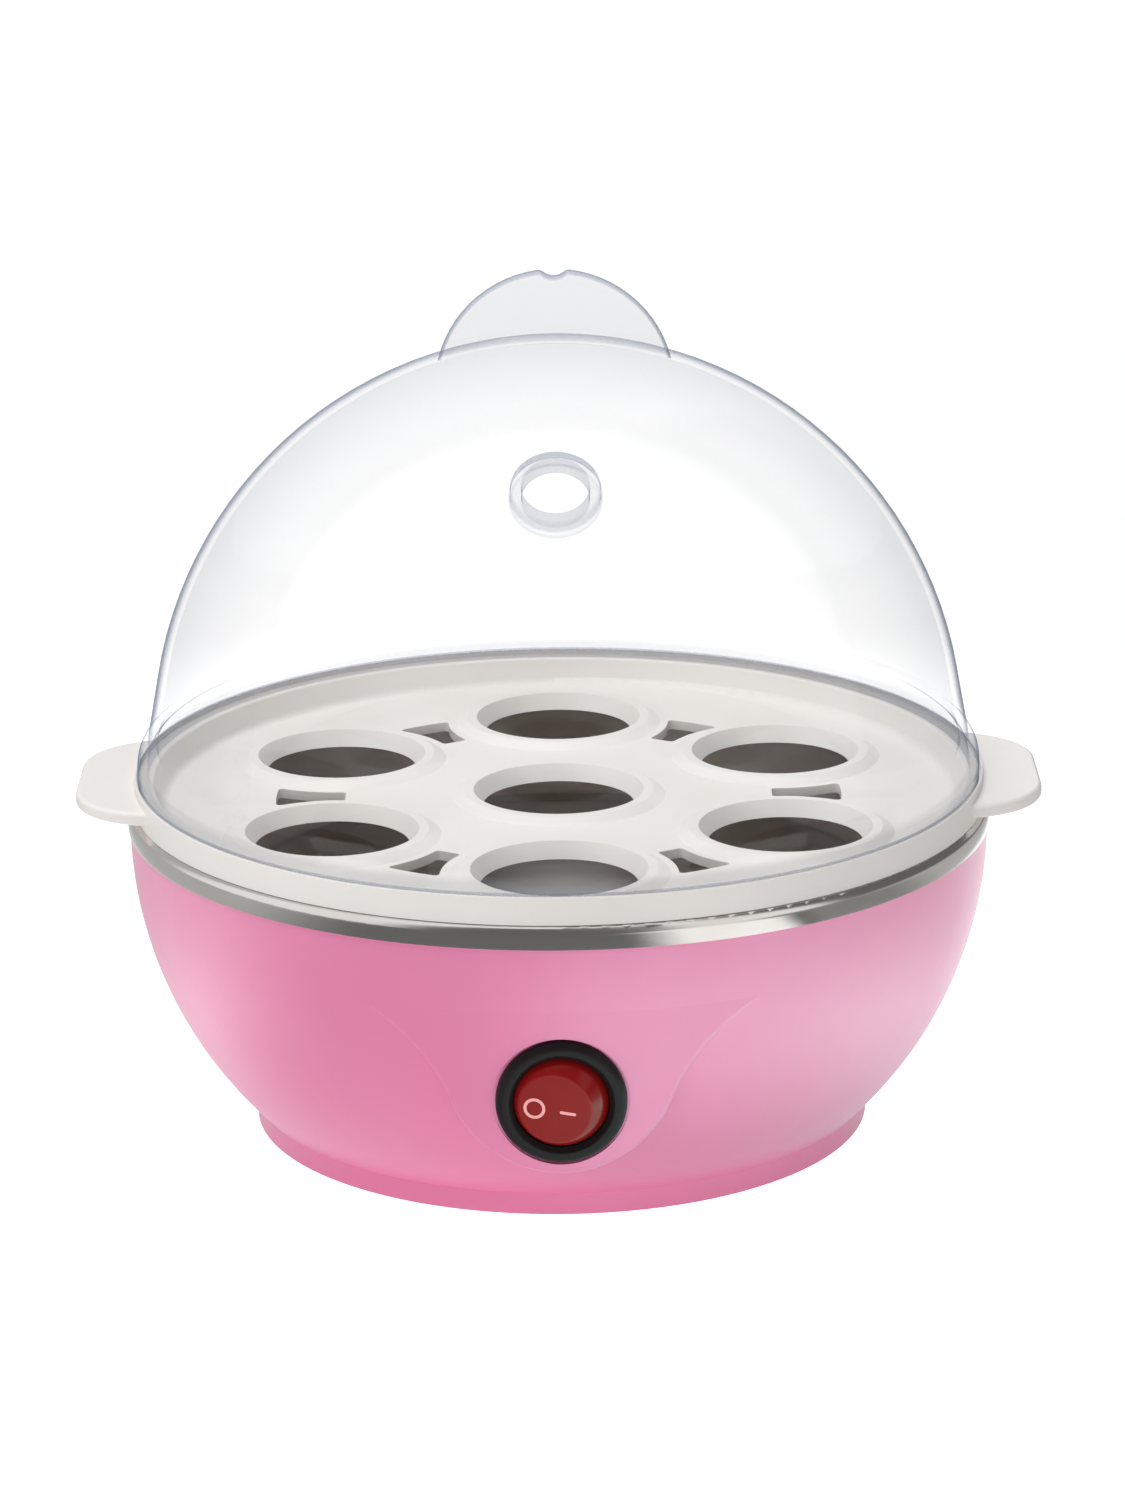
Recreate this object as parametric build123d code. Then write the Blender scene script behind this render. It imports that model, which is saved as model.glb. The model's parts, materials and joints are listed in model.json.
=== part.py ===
from build123d import *
from math import asin, cos, degrees, pi, radians, sin, sqrt, tan
import os

# Electric egg cooker. Millimetres and degrees, +Z up, front towards -Y.
# The origin is on the table, under the middle of the body.

# Clearances
cut_overrun = 2.0
fit_gap = 0.1
lift_gap = 0.5
pivot_gap = 0.08

# Rubber feet
foot_drop = 0.8
foot_radius = 5.0
foot_margin = 2.2
foot_recess = 1.0
foot_edge_round = 0.5
foot_count = 4

# Pink bowl housing
housing_wall = 2.2
foot_ring_radius = 57.9
foot_ring_height = 4.2
foot_ring_draft = 0.5
foot_overhang = 0.75
bowl_radius = 80.3
bowl_height = 58.2
bowl_arc_drop = 0.7

# Shield-shaped switch pad on the bowl
pad_top_drop = 12.0
pad_chin = 14.0
pad_taper = 4.5
pad_bottom_radius = 21.0
pad_flare_angle = 21.0
pad_half_width = 39.5
pad_edge_round = 1.0
pad_sink = 1.0

# Steel pan
pan_sheet = 0.8
rim_proud = 0.4
rim_height = 4.2
rim_width = 4.1
rim_round = 1.7
pan_depth = 21.2
pan_wall_lean = 10.6
pan_floor_round = 9.0
mouth_round = 1.2
mouth_drop = 4.6
seal_thickness = 1.0
skirt_gap = 0.2

# White egg tray
tray_inset = 1.0
tray_height = 5.0
tray_draft = 0.4
tray_wall = 1.7
tray_lip = 0.5
tray_floor_drop = 6.0
tray_floor = 1.8
tray_edge_round = 0.4
lid_seat_depth = 1.0
lid_play = 0.2
ear_length = 10.1
ear_half_width = 24.0
ear_corner = 16.0
ear_thickness = 2.6
ear_drop = 1.5
ear_edge_round = 0.8
seat_margin = 6.4
seat_hole_radius = 16.0
seat_ring_radius = 20.0
seat_ring_rise = 1.2
seat_land = 1.8
slot_guard = 1.5
slot_neck = 4.0
slot_inner_reach = 8.0
slot_outer_reach = 5.0
slot_round = 0.8

# Clear lid
lid_wall = 1.8
dome_inset = 3.0
dome_centre_rise = 5.9
dome_draft = 10.5
lid_shoulder_round = 6.0
lid_skirt_height = 3.1
fin_radius = 22.0
fin_centre_drop = 8.3
fin_thickness = 3.0
fin_edge_round = 0.9
fin_notch_width = 4.8
fin_notch_depth = 1.2
fin_notch_round = 1.4
vent_tilt = 38.5
vent_radius = 8.0
vent_bore_radius = 6.0
vent_rise = 2.0
vent_edge_round = 0.8

# Cast heater plate and ring element
plate_radius = 44.0
plate_thickness = 5.0
plate_edge_round = 1.2
boss_radius = 4.5
boss_height = 6.2
boss_pitch_radius = 36.0
thread_depth = 3.0
element_ring_radius = 27.0
element_tube_radius = 3.2
element_show = 0.6
element_gap_angle = 64.0
element_tail = 8.0
element_groove_gap = 0.15
pin_radius = 1.0
pin_length = 6.0

# Thermostat and its flange
cap_radius = 8.4
cap_height = 3.0
stat_radius = 7.2
stat_height = 8.0
stat_flange = 0.8
stat_screw_pitch = 12.0
stat_boss_radius = 3.0
blade_width = 6.3
blade_thickness = 0.8
blade_length = 8.0
stat_blade_pitch = 4.5

# Thermal fuse and its clip
fuse_radius = 2.0
fuse_length = 11.0
fuse_lead_length = 3.0
fuse_lead_radius = 0.6
fuse_offset = 15.5
clip_sheet = 0.8
clip_width = 5.0
clip_reach = 5.8
clip_tab_length = 8.4

# Small screws inside
small_screw_radius = 1.4
small_head_radius = 2.4
small_head_height = 1.8
small_screw_grip = 3.6
slot_width = 0.7
slot_depth = 0.9

# Rocker switch, in its own frame: x across, y up, z out of the pad
switch_drop = 29.0
bezel_radius = 11.6
bezel_height = 2.2
bezel_round = 1.5
bezel_mouth_radius = 9.4
throat_radius = 8.5
throat_depth = 0.9
throat_taper_length = 1.9
drum_radius = 9.9
drum_bore_radius = 9.3
drum_depth = 13.7
drum_floor = 1.5
spot_margin = 0.5
wedge_width = 5.0
wedge_rise = 0.9
wedge_length = 4.5
ball_radius = 9.0
pivot_depth = 4.6
rocker_face_height = 6.2
rocker_face_round = 0.5
rocker_heel = 1.5
rocker_tilt = 11.0
trunnion_radius = 1.2
trunnion_reach = 0.4
stem_radius = 2.5
stem_length = 2.2
plunger_radius = 1.4
plunger_bore_depth = 7.0
plunger_shank = 3.6
spring_wall = 0.4
tip_gap = 0.3
lever_length = 12.8
lever_width = 4.0
lever_sheet = 0.6
lever_tilt = 7.0
lever_pivot_rise = 2.0
lever_pin_radius = 0.6
cradle_sheet = 0.8
cradle_gap = 0.3
terminal_pitch = 5.2
terminal_width = 4.8
terminal_sheet = 0.8
terminal_reach = 7.5
rivet_radius = 1.5
rivet_height = 0.6
lamp_radius = 1.6
lamp_length = 8.0
lamp_offset = 6.2

# Flag connectors on the blades
connector_thickness = 2.6
connector_length = 6.4
connector_margin = 0.9

# Bottom cover, posts and long screws
cover_recess = 0.8
cover_thickness = 2.4
cover_play = 0.3
post_radius = 5.6
post_bore_radius = 2.2
screw_radius = 1.9
screw_head_radius = 3.7
screw_head_height = 2.4
counterbore_radius = 4.1
counterbore_depth = 5.0
screw_grip = 7.0
vent_slot_length = 22.0
vent_slot_width = 3.0
vent_slot_pitch = 7.0
vent_slot_count = 5

# Gland at the back
gland_height = 19.2
gland_flange_radius = 7.0
gland_flange = 1.8
gland_neck_radius = 5.0
gland_collar_radius = 6.0
gland_collar = 2.0
gland_bore_radius = 3.2
gland_edge_round = 0.7

# Terminal block
block_length = 24.0
block_width = 11.0
block_height = 9.0
block_margin = 3.0
block_pole_pitch = 7.0
block_bore_radius = 1.6
block_bore_depth = 3.0
block_edge_round = 0.8
block_screw_length = 10.0

# Leads
lead_radius = 1.1
lead_run = 6.0
lead_entry = 2.4
lead_approach = 5.5
lead_turn = 10.0
lead_bend_share = 0.45

# Heights and radii that follow from the sizes above
ring_z = foot_drop
bowl_top_z = ring_z + bowl_height
bowl_centre_z = bowl_top_z - bowl_arc_drop
foot_top_z = ring_z + foot_ring_height
foot_ring_top_radius = foot_ring_radius - foot_ring_draft
foot_ring_inner_radius = foot_ring_top_radius - housing_wall
foot_pitch_radius = foot_ring_inner_radius - foot_margin - foot_radius
bowl_flare = bowl_radius - foot_ring_top_radius - foot_overhang
bowl_arc_radius = (bowl_flare**2 + (bowl_centre_z - foot_top_z) ** 2) / (2 * bowl_flare)
bowl_centre_radius = bowl_radius - bowl_arc_radius
rim_radius = bowl_radius + rim_proud
rim_top_z = bowl_top_z + rim_height
pan_mouth_radius = rim_radius - rim_width
pan_floor_radius = pan_mouth_radius - pan_wall_lean
pan_floor_z = rim_top_z - pan_depth
tongue_radius = rim_radius - pan_sheet - skirt_gap
tongue_inner_radius = pan_mouth_radius + pan_sheet + lift_gap
tongue_top_z = rim_top_z - pan_sheet - seal_thickness
tray_radius = rim_radius - tray_inset
tray_top_z = rim_top_z + tray_height
tray_plug_radius = pan_mouth_radius - lift_gap
tray_floor_z = tray_top_z - tray_floor_drop
ear_reach = tray_radius + ear_length
seat_pitch_radius = tray_plug_radius - tray_wall - seat_margin - seat_ring_radius
slot_guard_radius = seat_ring_radius + slot_guard
lid_seat_z = tray_top_z - lid_seat_depth
lid_rim_radius = tray_radius - tray_draft - tray_lip - lid_play
dome_radius = lid_rim_radius - dome_inset
dome_centre_z = lid_seat_z + dome_centre_rise
plate_top_z = pan_floor_z - pan_sheet
plate_low_z = plate_top_z - plate_thickness
boss_low_z = plate_low_z - boss_height
cover_low_z = ring_z + cover_recess
cover_top_z = cover_low_z + cover_thickness
stat_top_z = plate_low_z
stat_low_z = stat_top_z - cap_height - stat_height
fuse_z = plate_low_z - clip_sheet - fuse_radius - fit_gap
element_z = plate_low_z - element_show
element_end_angle = 270 + element_gap_angle / 2
element_end_x = element_ring_radius * cos(radians(element_end_angle))
element_end_y = element_ring_radius * sin(radians(element_end_angle))
pin_low_z = element_z - element_tail - pin_length

# As many seats stand round the middle one as leave a neck of a slot between them.
outer_seat_count = int(pi / asin((slot_guard_radius + slot_neck / 2) / seat_pitch_radius))


def at(radius, z):
    """Point of a half section in the XZ plane."""
    return (radius, 0, z)


def turned(*edges):
    """Solid of revolution about the vertical axis from the edges of a half section."""
    return revolve(make_face(list(edges)), axis=Axis.Z)


def turned_points(points, radii=None):
    """Solid of revolution from the corners of a half section, with a round for each corner."""
    corners = [at(radius, z) for radius, z in points]
    if radii is None:
        outline = Polyline(*corners, close=True)
    else:
        outline = FilletPolyline(*corners, radius=radii, close=True)
    return revolve(make_face(outline.edges()), axis=Axis.Z)


def upright(radius, low, high):
    """Vertical cylinder about the Z axis between two heights."""
    return Pos(0, 0, low) * Cylinder(radius, high - low, align=(Align.CENTER, Align.CENTER, Align.MIN))


def ring_places(radius, count, first_angle):
    """Locations evenly spaced on a circle."""
    return PolarLocations(radius, count, start_angle=first_angle).local_locations


def square_places(radius, first_angle):
    """Four places at a pitch radius, unturned."""
    return [Pos(place.position) for place in ring_places(radius, foot_count, first_angle)]


def post_places():
    """The four diagonal places of the posts, bosses and long screws."""
    return square_places(boss_pitch_radius, 45)


def foot_places():
    """The four places of the feet, between the posts."""
    return square_places(foot_pitch_radius, 0)


def bowl_reach(z, inset=0):
    """Radius of the bowl's wall at a height, on the surface an inset below the outside."""
    return bowl_centre_radius + sqrt((bowl_arc_radius - inset) ** 2 - (z - bowl_centre_z) ** 2)


# The pad's cone crosses the bowl at the pad's top height and hangs down steeper than the bowl.
pad_top_z = bowl_top_z - pad_top_drop
switch_z = bowl_top_z - switch_drop
pad_low_z = switch_z - pad_chin
pad_slope = tan(radians(pad_taper))


def pad_reach(z, inset=0):
    """Radius of the pad's cone at a height."""
    return bowl_reach(pad_top_z) - pad_slope * (pad_top_z - z) - inset / cos(radians(pad_taper))


# The switch sits on a flat spot face in the pad, deep enough to be flat over its whole round.
spot_radius = bezel_radius + spot_margin
spot_depth = pad_reach(switch_z) - sqrt(pad_reach(switch_z) ** 2 - spot_radius**2)
switch_axis = Vector(0, -cos(radians(pad_taper)), -sin(radians(pad_taper)))
switch_plane = Plane(
    origin=Vector(0, -pad_reach(switch_z), switch_z) - switch_axis * spot_depth,
    x_dir=(1, 0, 0),
    z_dir=switch_axis,
)
pivot_z = bezel_height - pivot_depth
drum_floor_z = drum_floor - drum_depth
lever_pivot_z = drum_floor_z + lever_pivot_rise
tip_reach = pivot_z - lever_pivot_z - lever_pin_radius - tip_gap

# The terminal block stands at the back, where its far corners come near the bowl's wall.
block_corner_radius = min(foot_ring_inner_radius, bowl_reach(cover_top_z, housing_wall)) - block_margin
block_offset = sqrt(block_corner_radius**2 - (block_length / 2) ** 2) - block_width / 2

# The gland stands square to the bowl's wall at the back.
gland_z = ring_z + gland_height
gland_lean = degrees(asin((bowl_centre_z - gland_z) / bowl_arc_radius))
gland_axis = Vector(0, cos(radians(gland_lean)), -sin(radians(gland_lean)))
gland_spot_depth = bowl_arc_radius - sqrt(bowl_arc_radius**2 - (gland_flange_radius + fit_gap) ** 2)
gland_plane = Plane(
    origin=Vector(0, bowl_reach(gland_z), gland_z) - gland_axis * gland_spot_depth,
    x_dir=(1, 0, 0),
    z_dir=gland_axis,
)


def bowl_half_section(inset, low_z, low_radius, step_z, step_radius, top_z):
    """Half section of the bowl between a straight foot and a straight collar."""
    middle_z = (low_z + bowl_top_z) / 2
    return (
        Line(at(0, low_z), at(low_radius, low_z)),
        Line(at(low_radius, low_z), at(step_radius, step_z)),
        Line(at(step_radius, step_z), at(bowl_reach(step_z, inset), step_z)),
        ThreePointArc(
            at(bowl_reach(step_z, inset), step_z),
            at(bowl_reach(middle_z, inset), middle_z),
            at(bowl_reach(bowl_top_z, inset), bowl_top_z),
        ),
        Line(at(0, top_z), at(0, low_z)),
    )


def pad_outline():
    """Shield outline of the pad in front view: a round bottom whose sides flare out at the top."""
    round_centre_z = pad_low_z + pad_bottom_radius
    flare = radians(pad_flare_angle)
    side_x = pad_bottom_radius * cos(flare)
    side_z = round_centre_z - pad_bottom_radius * sin(flare)
    top_z = pad_top_z + pad_sink
    bottom = ThreePointArc((-side_x, side_z), (0, pad_low_z), (side_x, side_z))
    right = TangentArc((side_x, side_z), (pad_half_width, top_z), tangent=(sin(flare), cos(flare)))
    left = mirror(right, about=Plane.YZ)
    top = Line((-pad_half_width, top_z), (pad_half_width, top_z))
    return make_face([*bottom.edges(), *right.edges(), *left.edges(), *top.edges()])


def pad_body(inset):
    """Solid under the pad's cone, trimmed to the shield outline, an inset below the outside."""
    low_z = pad_low_z - cut_overrun
    high_z = pad_top_z + pad_sink
    low_radius = pad_reach(low_z, inset)
    high_radius = pad_reach(high_z, inset)
    cone = turned_points([(0, low_z), (low_radius, low_z), (high_radius, high_z), (0, high_z)])
    outline = pad_outline() if inset == 0 else offset(pad_outline(), amount=-inset)
    prism = extrude(Plane.XZ * outline, amount=rim_radius)
    body = cone & prism
    if inset == 0:
        rim = [edge for edge in body.faces().sort_by(Axis.Y)[0].edges() if edge.center().Z < pad_top_z]
        body = fillet(rim, pad_edge_round)
    return body


def make_outer_housing():
    """Pink bowl shell with its foot ring, switch pad, switch hole and gland hole."""
    outside = turned(
        *bowl_half_section(0, ring_z, foot_ring_radius, foot_top_z, foot_ring_top_radius, tongue_top_z),
        Line(at(bowl_reach(bowl_top_z), bowl_top_z), at(tongue_radius, bowl_top_z)),
        Line(at(tongue_radius, bowl_top_z), at(tongue_radius, tongue_top_z)),
        Line(at(tongue_radius, tongue_top_z), at(0, tongue_top_z)),
    )
    low_z = ring_z - cut_overrun
    high_z = tongue_top_z + cut_overrun
    inner_low = foot_ring_inner_radius
    inner_top = bowl_reach(bowl_top_z, housing_wall)
    inside = turned(
        *bowl_half_section(housing_wall, low_z, inner_low, cover_top_z, inner_low, high_z),
        Line(at(inner_top, bowl_top_z), at(tongue_inner_radius, bowl_top_z)),
        Line(at(tongue_inner_radius, bowl_top_z), at(tongue_inner_radius, high_z)),
        Line(at(tongue_inner_radius, high_z), at(0, high_z)),
    )
    shell = (outside + pad_body(0)) - (inside + pad_body(housing_wall))
    spot = upright(spot_radius, 0, bezel_height + cut_overrun)
    hole = upright(drum_radius + fit_gap, -drum_depth, cut_overrun)
    shell -= switch_plane.location * (spot + hole)
    gland_spot = upright(gland_flange_radius + fit_gap, 0, gland_flange + cut_overrun)
    gland_hole = upright(gland_neck_radius + fit_gap, -housing_wall - cut_overrun, cut_overrun)
    return shell - gland_plane.location * (gland_spot + gland_hole)


def make_heating_pan():
    """Pressed steel dish: flat floor, sloped wall, flat ledge and a skirt over the housing's edge."""
    inner_floor = pan_floor_radius
    outer_floor = pan_floor_radius + pan_sheet
    mouth_low = pan_mouth_radius + pan_sheet
    ledge_low_z = rim_top_z - pan_sheet
    floor_low_z = pan_floor_z - pan_sheet
    corners = [
        (0, pan_floor_z),
        (inner_floor, pan_floor_z),
        (pan_mouth_radius, rim_top_z - mouth_drop),
        (pan_mouth_radius, rim_top_z),
        (rim_radius, rim_top_z),
        (rim_radius, bowl_top_z),
        (rim_radius - pan_sheet, bowl_top_z),
        (rim_radius - pan_sheet, ledge_low_z),
        (mouth_low, ledge_low_z),
        (mouth_low, rim_top_z - mouth_drop),
        (outer_floor, floor_low_z),
        (0, floor_low_z),
    ]
    inside_rounds = [0, pan_floor_round, mouth_round, mouth_round, rim_round, 0]
    under_rounds = [0, rim_round - pan_sheet, mouth_round - pan_sheet, mouth_round + pan_sheet]
    rounds = [*inside_rounds, *under_rounds, pan_floor_round + pan_sheet, 0]
    return turned_points(corners, rounds)


def make_pan_seal():
    """Silicone ring between the housing's edge and the pan's ledge, bevelled to clear the rim's bend."""
    top_z = tongue_top_z + seal_thickness
    corners = [
        (tongue_inner_radius, tongue_top_z),
        (tongue_radius, tongue_top_z),
        (tongue_radius, top_z - seal_thickness / 2),
        (tongue_radius - (rim_round - pan_sheet), top_z),
        (tongue_inner_radius, top_z),
    ]
    return turned_points(corners)


def steam_slot():
    """Curved triangle between two neighbouring seats, cut square through the tray's floor."""
    half_step = radians(180 / outer_seat_count)
    seat_x = seat_pitch_radius * cos(half_step)
    seat_y = seat_pitch_radius * sin(half_step)
    wedge = Polyline((0, 0), (2 * seat_x, -2 * seat_y), (2 * seat_x, 2 * seat_y), close=True)
    band = Circle(seat_pitch_radius + slot_outer_reach) - Circle(seat_pitch_radius - slot_inner_reach)
    outline = band & make_face(wedge.edges())
    outline -= [Pos(seat_x, side * seat_y) * Circle(slot_guard_radius) for side in (-1, 1)]
    outline = fillet(outline.vertices(), slot_round)
    return Pos(0, 0, tray_floor_z - tray_floor - cut_overrun) * extrude(
        outline, amount=tray_floor + seat_ring_rise + 2 * cut_overrun
    )


def seat_places():
    """The ring of outer seats, one of them at the front, and a centre seat where they leave room for it."""
    places = [Pos(place.position) for place in ring_places(seat_pitch_radius, outer_seat_count, -90)]
    if seat_pitch_radius > 2 * seat_ring_radius:
        places.append(Pos(0, 0, 0))
    return places


def make_egg_tray():
    """White tray: stepped rim, plug into the pan, ears, raised seats and steam slots."""
    floor_low_z = tray_floor_z - tray_floor
    wall_radius = tray_plug_radius - tray_wall
    rim_inner_radius = tray_plug_radius - tray_edge_round
    tray_top_radius = tray_radius - tray_draft
    lid_ledge_radius = tray_top_radius - tray_lip
    core_z = lid_seat_z - tray_wall
    corners = [
        (0, floor_low_z),
        (tray_plug_radius, floor_low_z),
        (tray_plug_radius, rim_top_z),
        (tray_plug_radius + tray_wall / 2, rim_top_z),
        (tray_plug_radius + tray_wall / 2, core_z),
        (tray_radius - tray_wall, core_z),
        (tray_radius - tray_wall, rim_top_z),
        (tray_radius, rim_top_z),
        (tray_top_radius, tray_top_z),
        (lid_ledge_radius, tray_top_z),
        (lid_ledge_radius, lid_seat_z),
        (rim_inner_radius, lid_seat_z),
        (wall_radius, tray_floor_z),
        (0, tray_floor_z),
    ]
    lip_round = tray_lip / 3
    rounds = [0, tray_edge_round, 0, 0, 0, 0, 0, 0, lip_round, lip_round, 0, tray_edge_round, tray_wall, 0]
    tray = turned_points(corners, rounds)
    tray += make_ears()
    seat_low_radius = seat_hole_radius + seat_land
    mound = turned_points(
        [
            (0, tray_floor_z - tray_floor / 2),
            (seat_ring_radius, tray_floor_z - tray_floor / 2),
            (seat_ring_radius, tray_floor_z),
            (seat_low_radius, tray_floor_z + seat_ring_rise),
            (0, tray_floor_z + seat_ring_rise),
        ],
    )
    hole = turned_points(
        [
            (0, floor_low_z - cut_overrun),
            (seat_hole_radius - seat_land, floor_low_z - cut_overrun),
            (seat_hole_radius - seat_land, floor_low_z),
            (seat_hole_radius, tray_floor_z + seat_ring_rise),
            (seat_hole_radius, tray_floor_z + seat_ring_rise + cut_overrun),
            (0, tray_floor_z + seat_ring_rise + cut_overrun),
        ],
    )
    tray += [place * mound for place in seat_places()]
    tray -= [place * hole for place in seat_places()]
    slot = steam_slot()
    tray -= [place * slot for place in ring_places(0, outer_seat_count, -90 + 180 / outer_seat_count)]
    return tray


def make_ears():
    """Two flat rounded carrying ears, one each side, fused to the tray's outer wall."""
    ear_top_z = tray_top_z - ear_drop
    plate = RectangleRounded(2 * ear_reach, 2 * ear_half_width, ear_corner)
    plate = Pos(0, 0, ear_top_z - ear_thickness) * extrude(plate, amount=ear_thickness)
    plate = fillet(plate.edges().filter_by(Axis.Z, reverse=True), ear_edge_round)
    middle = upright(tray_radius - tray_wall, ear_top_z - 2 * ear_thickness, ear_top_z + ear_thickness)
    return plate - middle


def dome_body(inset, low_z):
    """Solid dome down to a height: a sphere on a flared wall, an inset below the outside."""
    radius = dome_radius - inset
    draft = radians(dome_draft)
    middle = radians(45)
    wall_radius = radius * cos(draft)
    wall_z = dome_centre_z + radius * sin(draft)
    low_radius = wall_radius + (wall_z - low_z) * tan(draft)
    crown = ThreePointArc(
        at(wall_radius, wall_z),
        at(radius * cos(middle), dome_centre_z + radius * sin(middle)),
        at(0, dome_centre_z + radius),
    )
    return turned(
        crown,
        Line(at(0, dome_centre_z + radius), at(0, low_z)),
        Line(at(0, low_z), at(low_radius, low_z)),
        Line(at(low_radius, low_z), at(wall_radius, wall_z)),
    )


def lid_shoulder(inset, low_z):
    """Solid round-edged drum under the dome, whose edge is the lid's flared rim."""
    radius = lid_rim_radius - inset
    bend = lid_shoulder_round - inset
    top_z = lid_seat_z + lid_skirt_height + bend
    return turned_points([(0, low_z), (radius, low_z), (radius, top_z), (0, top_z)], [0, 0, bend, 0])


def make_lid():
    """Clear dome with a flared rim, a half-disc fin and a collared steam vent."""
    outside = dome_body(0, lid_seat_z) + lid_shoulder(0, lid_seat_z) + make_fin() + vent_collar()
    hollow_low_z = lid_seat_z - cut_overrun
    hollow = dome_body(lid_wall, hollow_low_z) + lid_shoulder(lid_wall, hollow_low_z)
    return outside - hollow - vent_bore()


def make_fin():
    """Half-disc finger fin across the top of the dome, with a shallow round dip at its crest."""
    centre_z = dome_centre_z + dome_radius - fin_centre_drop
    dip_radius = ((fin_notch_width / 2) ** 2 + fin_notch_depth**2) / (2 * fin_notch_depth)
    dip = Pos(0, fin_radius - fin_notch_depth + dip_radius) * Circle(dip_radius)
    outline = Circle(fin_radius) - dip
    crest = outline.vertices().filter_by(lambda corner: corner.Y > fin_radius - 2 * fin_notch_depth)
    outline = fillet(crest.filter_by(lambda corner: abs(corner.X) > fin_notch_width / 4), fin_notch_round)
    fin = Pos(0, fin_thickness / 2, centre_z) * extrude(Plane.XZ * outline, amount=fin_thickness)
    return fillet(fin.edges().filter_by(Axis.Y, reverse=True), fin_edge_round)


def vent_place():
    """Location of the vent on the front of the dome, with Z along the vent's axis."""
    return Pos(0, 0, dome_centre_z) * Rot(vent_tilt, 0, 0)


def vent_collar():
    """Round collar that stands on the dome."""
    low = dome_radius - 2 * lid_wall
    collar = upright(vent_radius, low, dome_radius + vent_rise)
    return vent_place() * fillet(collar.edges().sort_by(Axis.Z)[-1], vent_edge_round)


def vent_bore():
    """Hole through the collar and the dome's wall."""
    return vent_place() * upright(vent_bore_radius, dome_radius - 4 * lid_wall, dome_radius + 2 * vent_rise)


def small_screw(grip):
    """Slotted pan-head screw pointing up, with its head's seat at zero."""
    head = upright(small_head_radius, -small_head_height, 0)
    slot = Box(2 * small_head_radius + cut_overrun, slot_width, 2 * slot_depth)
    head -= Pos(0, 0, -small_head_height) * slot
    return head + upright(small_screw_radius, 0, grip)


def screw_hole(low, high):
    """Pilot hole for a small screw."""
    return upright(small_screw_radius + fit_gap, low, high)


def make_heater_plate():
    """Cast disc under the pan with four screw bosses, two thermostat bosses and the element's groove."""
    plate = upright(plate_radius, plate_low_z, plate_top_z)
    plate = fillet(plate.edges().group_by(Axis.Z)[0], plate_edge_round)
    stat_seat_z = plate_low_z - cap_height
    boss = upright(boss_radius, boss_low_z, plate_low_z + fit_gap)
    boss_hole = upright(screw_radius + fit_gap, boss_low_z - cut_overrun, plate_low_z + thread_depth)
    stat_boss = upright(stat_boss_radius, stat_seat_z, plate_low_z + fit_gap)
    stat_hole = screw_hole(stat_seat_z - cut_overrun, stat_seat_z + small_screw_grip)
    clip_hole = screw_hole(plate_low_z - cut_overrun, plate_low_z + small_screw_grip)
    stat_places = [Pos(side * stat_screw_pitch, 0, 0) for side in (-1, 1)]
    plate += [place * boss for place in post_places()]
    plate += [place * stat_boss for place in stat_places]
    plate -= [place * boss_hole for place in post_places()]
    plate -= [place * stat_hole for place in stat_places]
    plate -= Pos(0, -fuse_offset - clip_reach, 0) * clip_hole
    return plate - element_tube(element_tube_radius + element_groove_gap)


def element_tube(radius):
    """Open ring of tube under the plate whose two ends turn down."""
    turn = 360 - element_gap_angle
    section = Plane.XZ * (Pos(element_ring_radius, 0) * Circle(radius))
    ring = Rot(0, 0, element_end_angle) * revolve(section, axis=Axis.Z, revolution_arc=turn)
    tube = Pos(0, 0, element_z) * ring
    for side in (-1, 1):
        end = Pos(side * element_end_x, element_end_y, element_z)
        tube += end * Sphere(radius)
        tube += end * upright(radius, -element_tail, 0)
    return tube


def make_heating_element():
    """Sheathed ring element with two cold ends."""
    return element_tube(element_tube_radius)


def make_element_pins():
    """Terminal pins in the cold ends."""
    pin = upright(pin_radius, pin_low_z, pin_low_z + pin_length)
    return [Pos(side * element_end_x, element_end_y, 0) * pin for side in (-1, 1)]


def make_thermostat():
    """Snap-disc thermostat: cap against the plate and a round body below its flange."""
    cap_low_z = stat_top_z - cap_height
    return upright(cap_radius, cap_low_z, stat_top_z) + upright(stat_radius, stat_low_z, cap_low_z)


def make_thermostat_flange():
    """Oval sheet flange that holds the thermostat's cap up, with two screw holes."""
    top_z = stat_top_z - cap_height
    outline = SlotCenterToCenter(2 * stat_screw_pitch, 2 * stat_boss_radius) + Circle(cap_radius)
    outline -= Circle(stat_radius + fit_gap)
    outline -= [Pos(side * stat_screw_pitch, 0) * Circle(small_screw_radius + fit_gap) for side in (-1, 1)]
    return Pos(0, 0, top_z - stat_flange) * extrude(outline, amount=stat_flange)


def make_flange_screws():
    """Two screws through the flange into the plate's bosses."""
    seat_z = stat_top_z - cap_height - stat_flange
    screw = small_screw(small_screw_grip)
    return [Pos(side * stat_screw_pitch, 0, seat_z) * screw for side in (-1, 1)]


def make_thermostat_blades():
    """Two spade blades under the thermostat."""
    blade = Box(blade_thickness, blade_width, blade_length, align=(Align.CENTER, Align.CENTER, Align.MAX))
    return [Pos(side * stat_blade_pitch, 0, stat_low_z) * blade for side in (-1, 1)]


def make_thermal_fuse():
    """Small cartridge with tapered ends and a stub of lead at each end."""
    half = fuse_length / 2
    neck = half - fuse_radius
    tip = half + fuse_lead_length
    fuse = turned_points(
        [
            (0, -tip),
            (fuse_lead_radius, -tip),
            (fuse_lead_radius, -half),
            (fuse_radius, -neck),
            (fuse_radius, neck),
            (fuse_lead_radius, half),
            (fuse_lead_radius, tip),
            (0, tip),
        ]
    )
    return Pos(0, -fuse_offset, fuse_z) * Rot(0, 90, 0) * fuse


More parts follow.
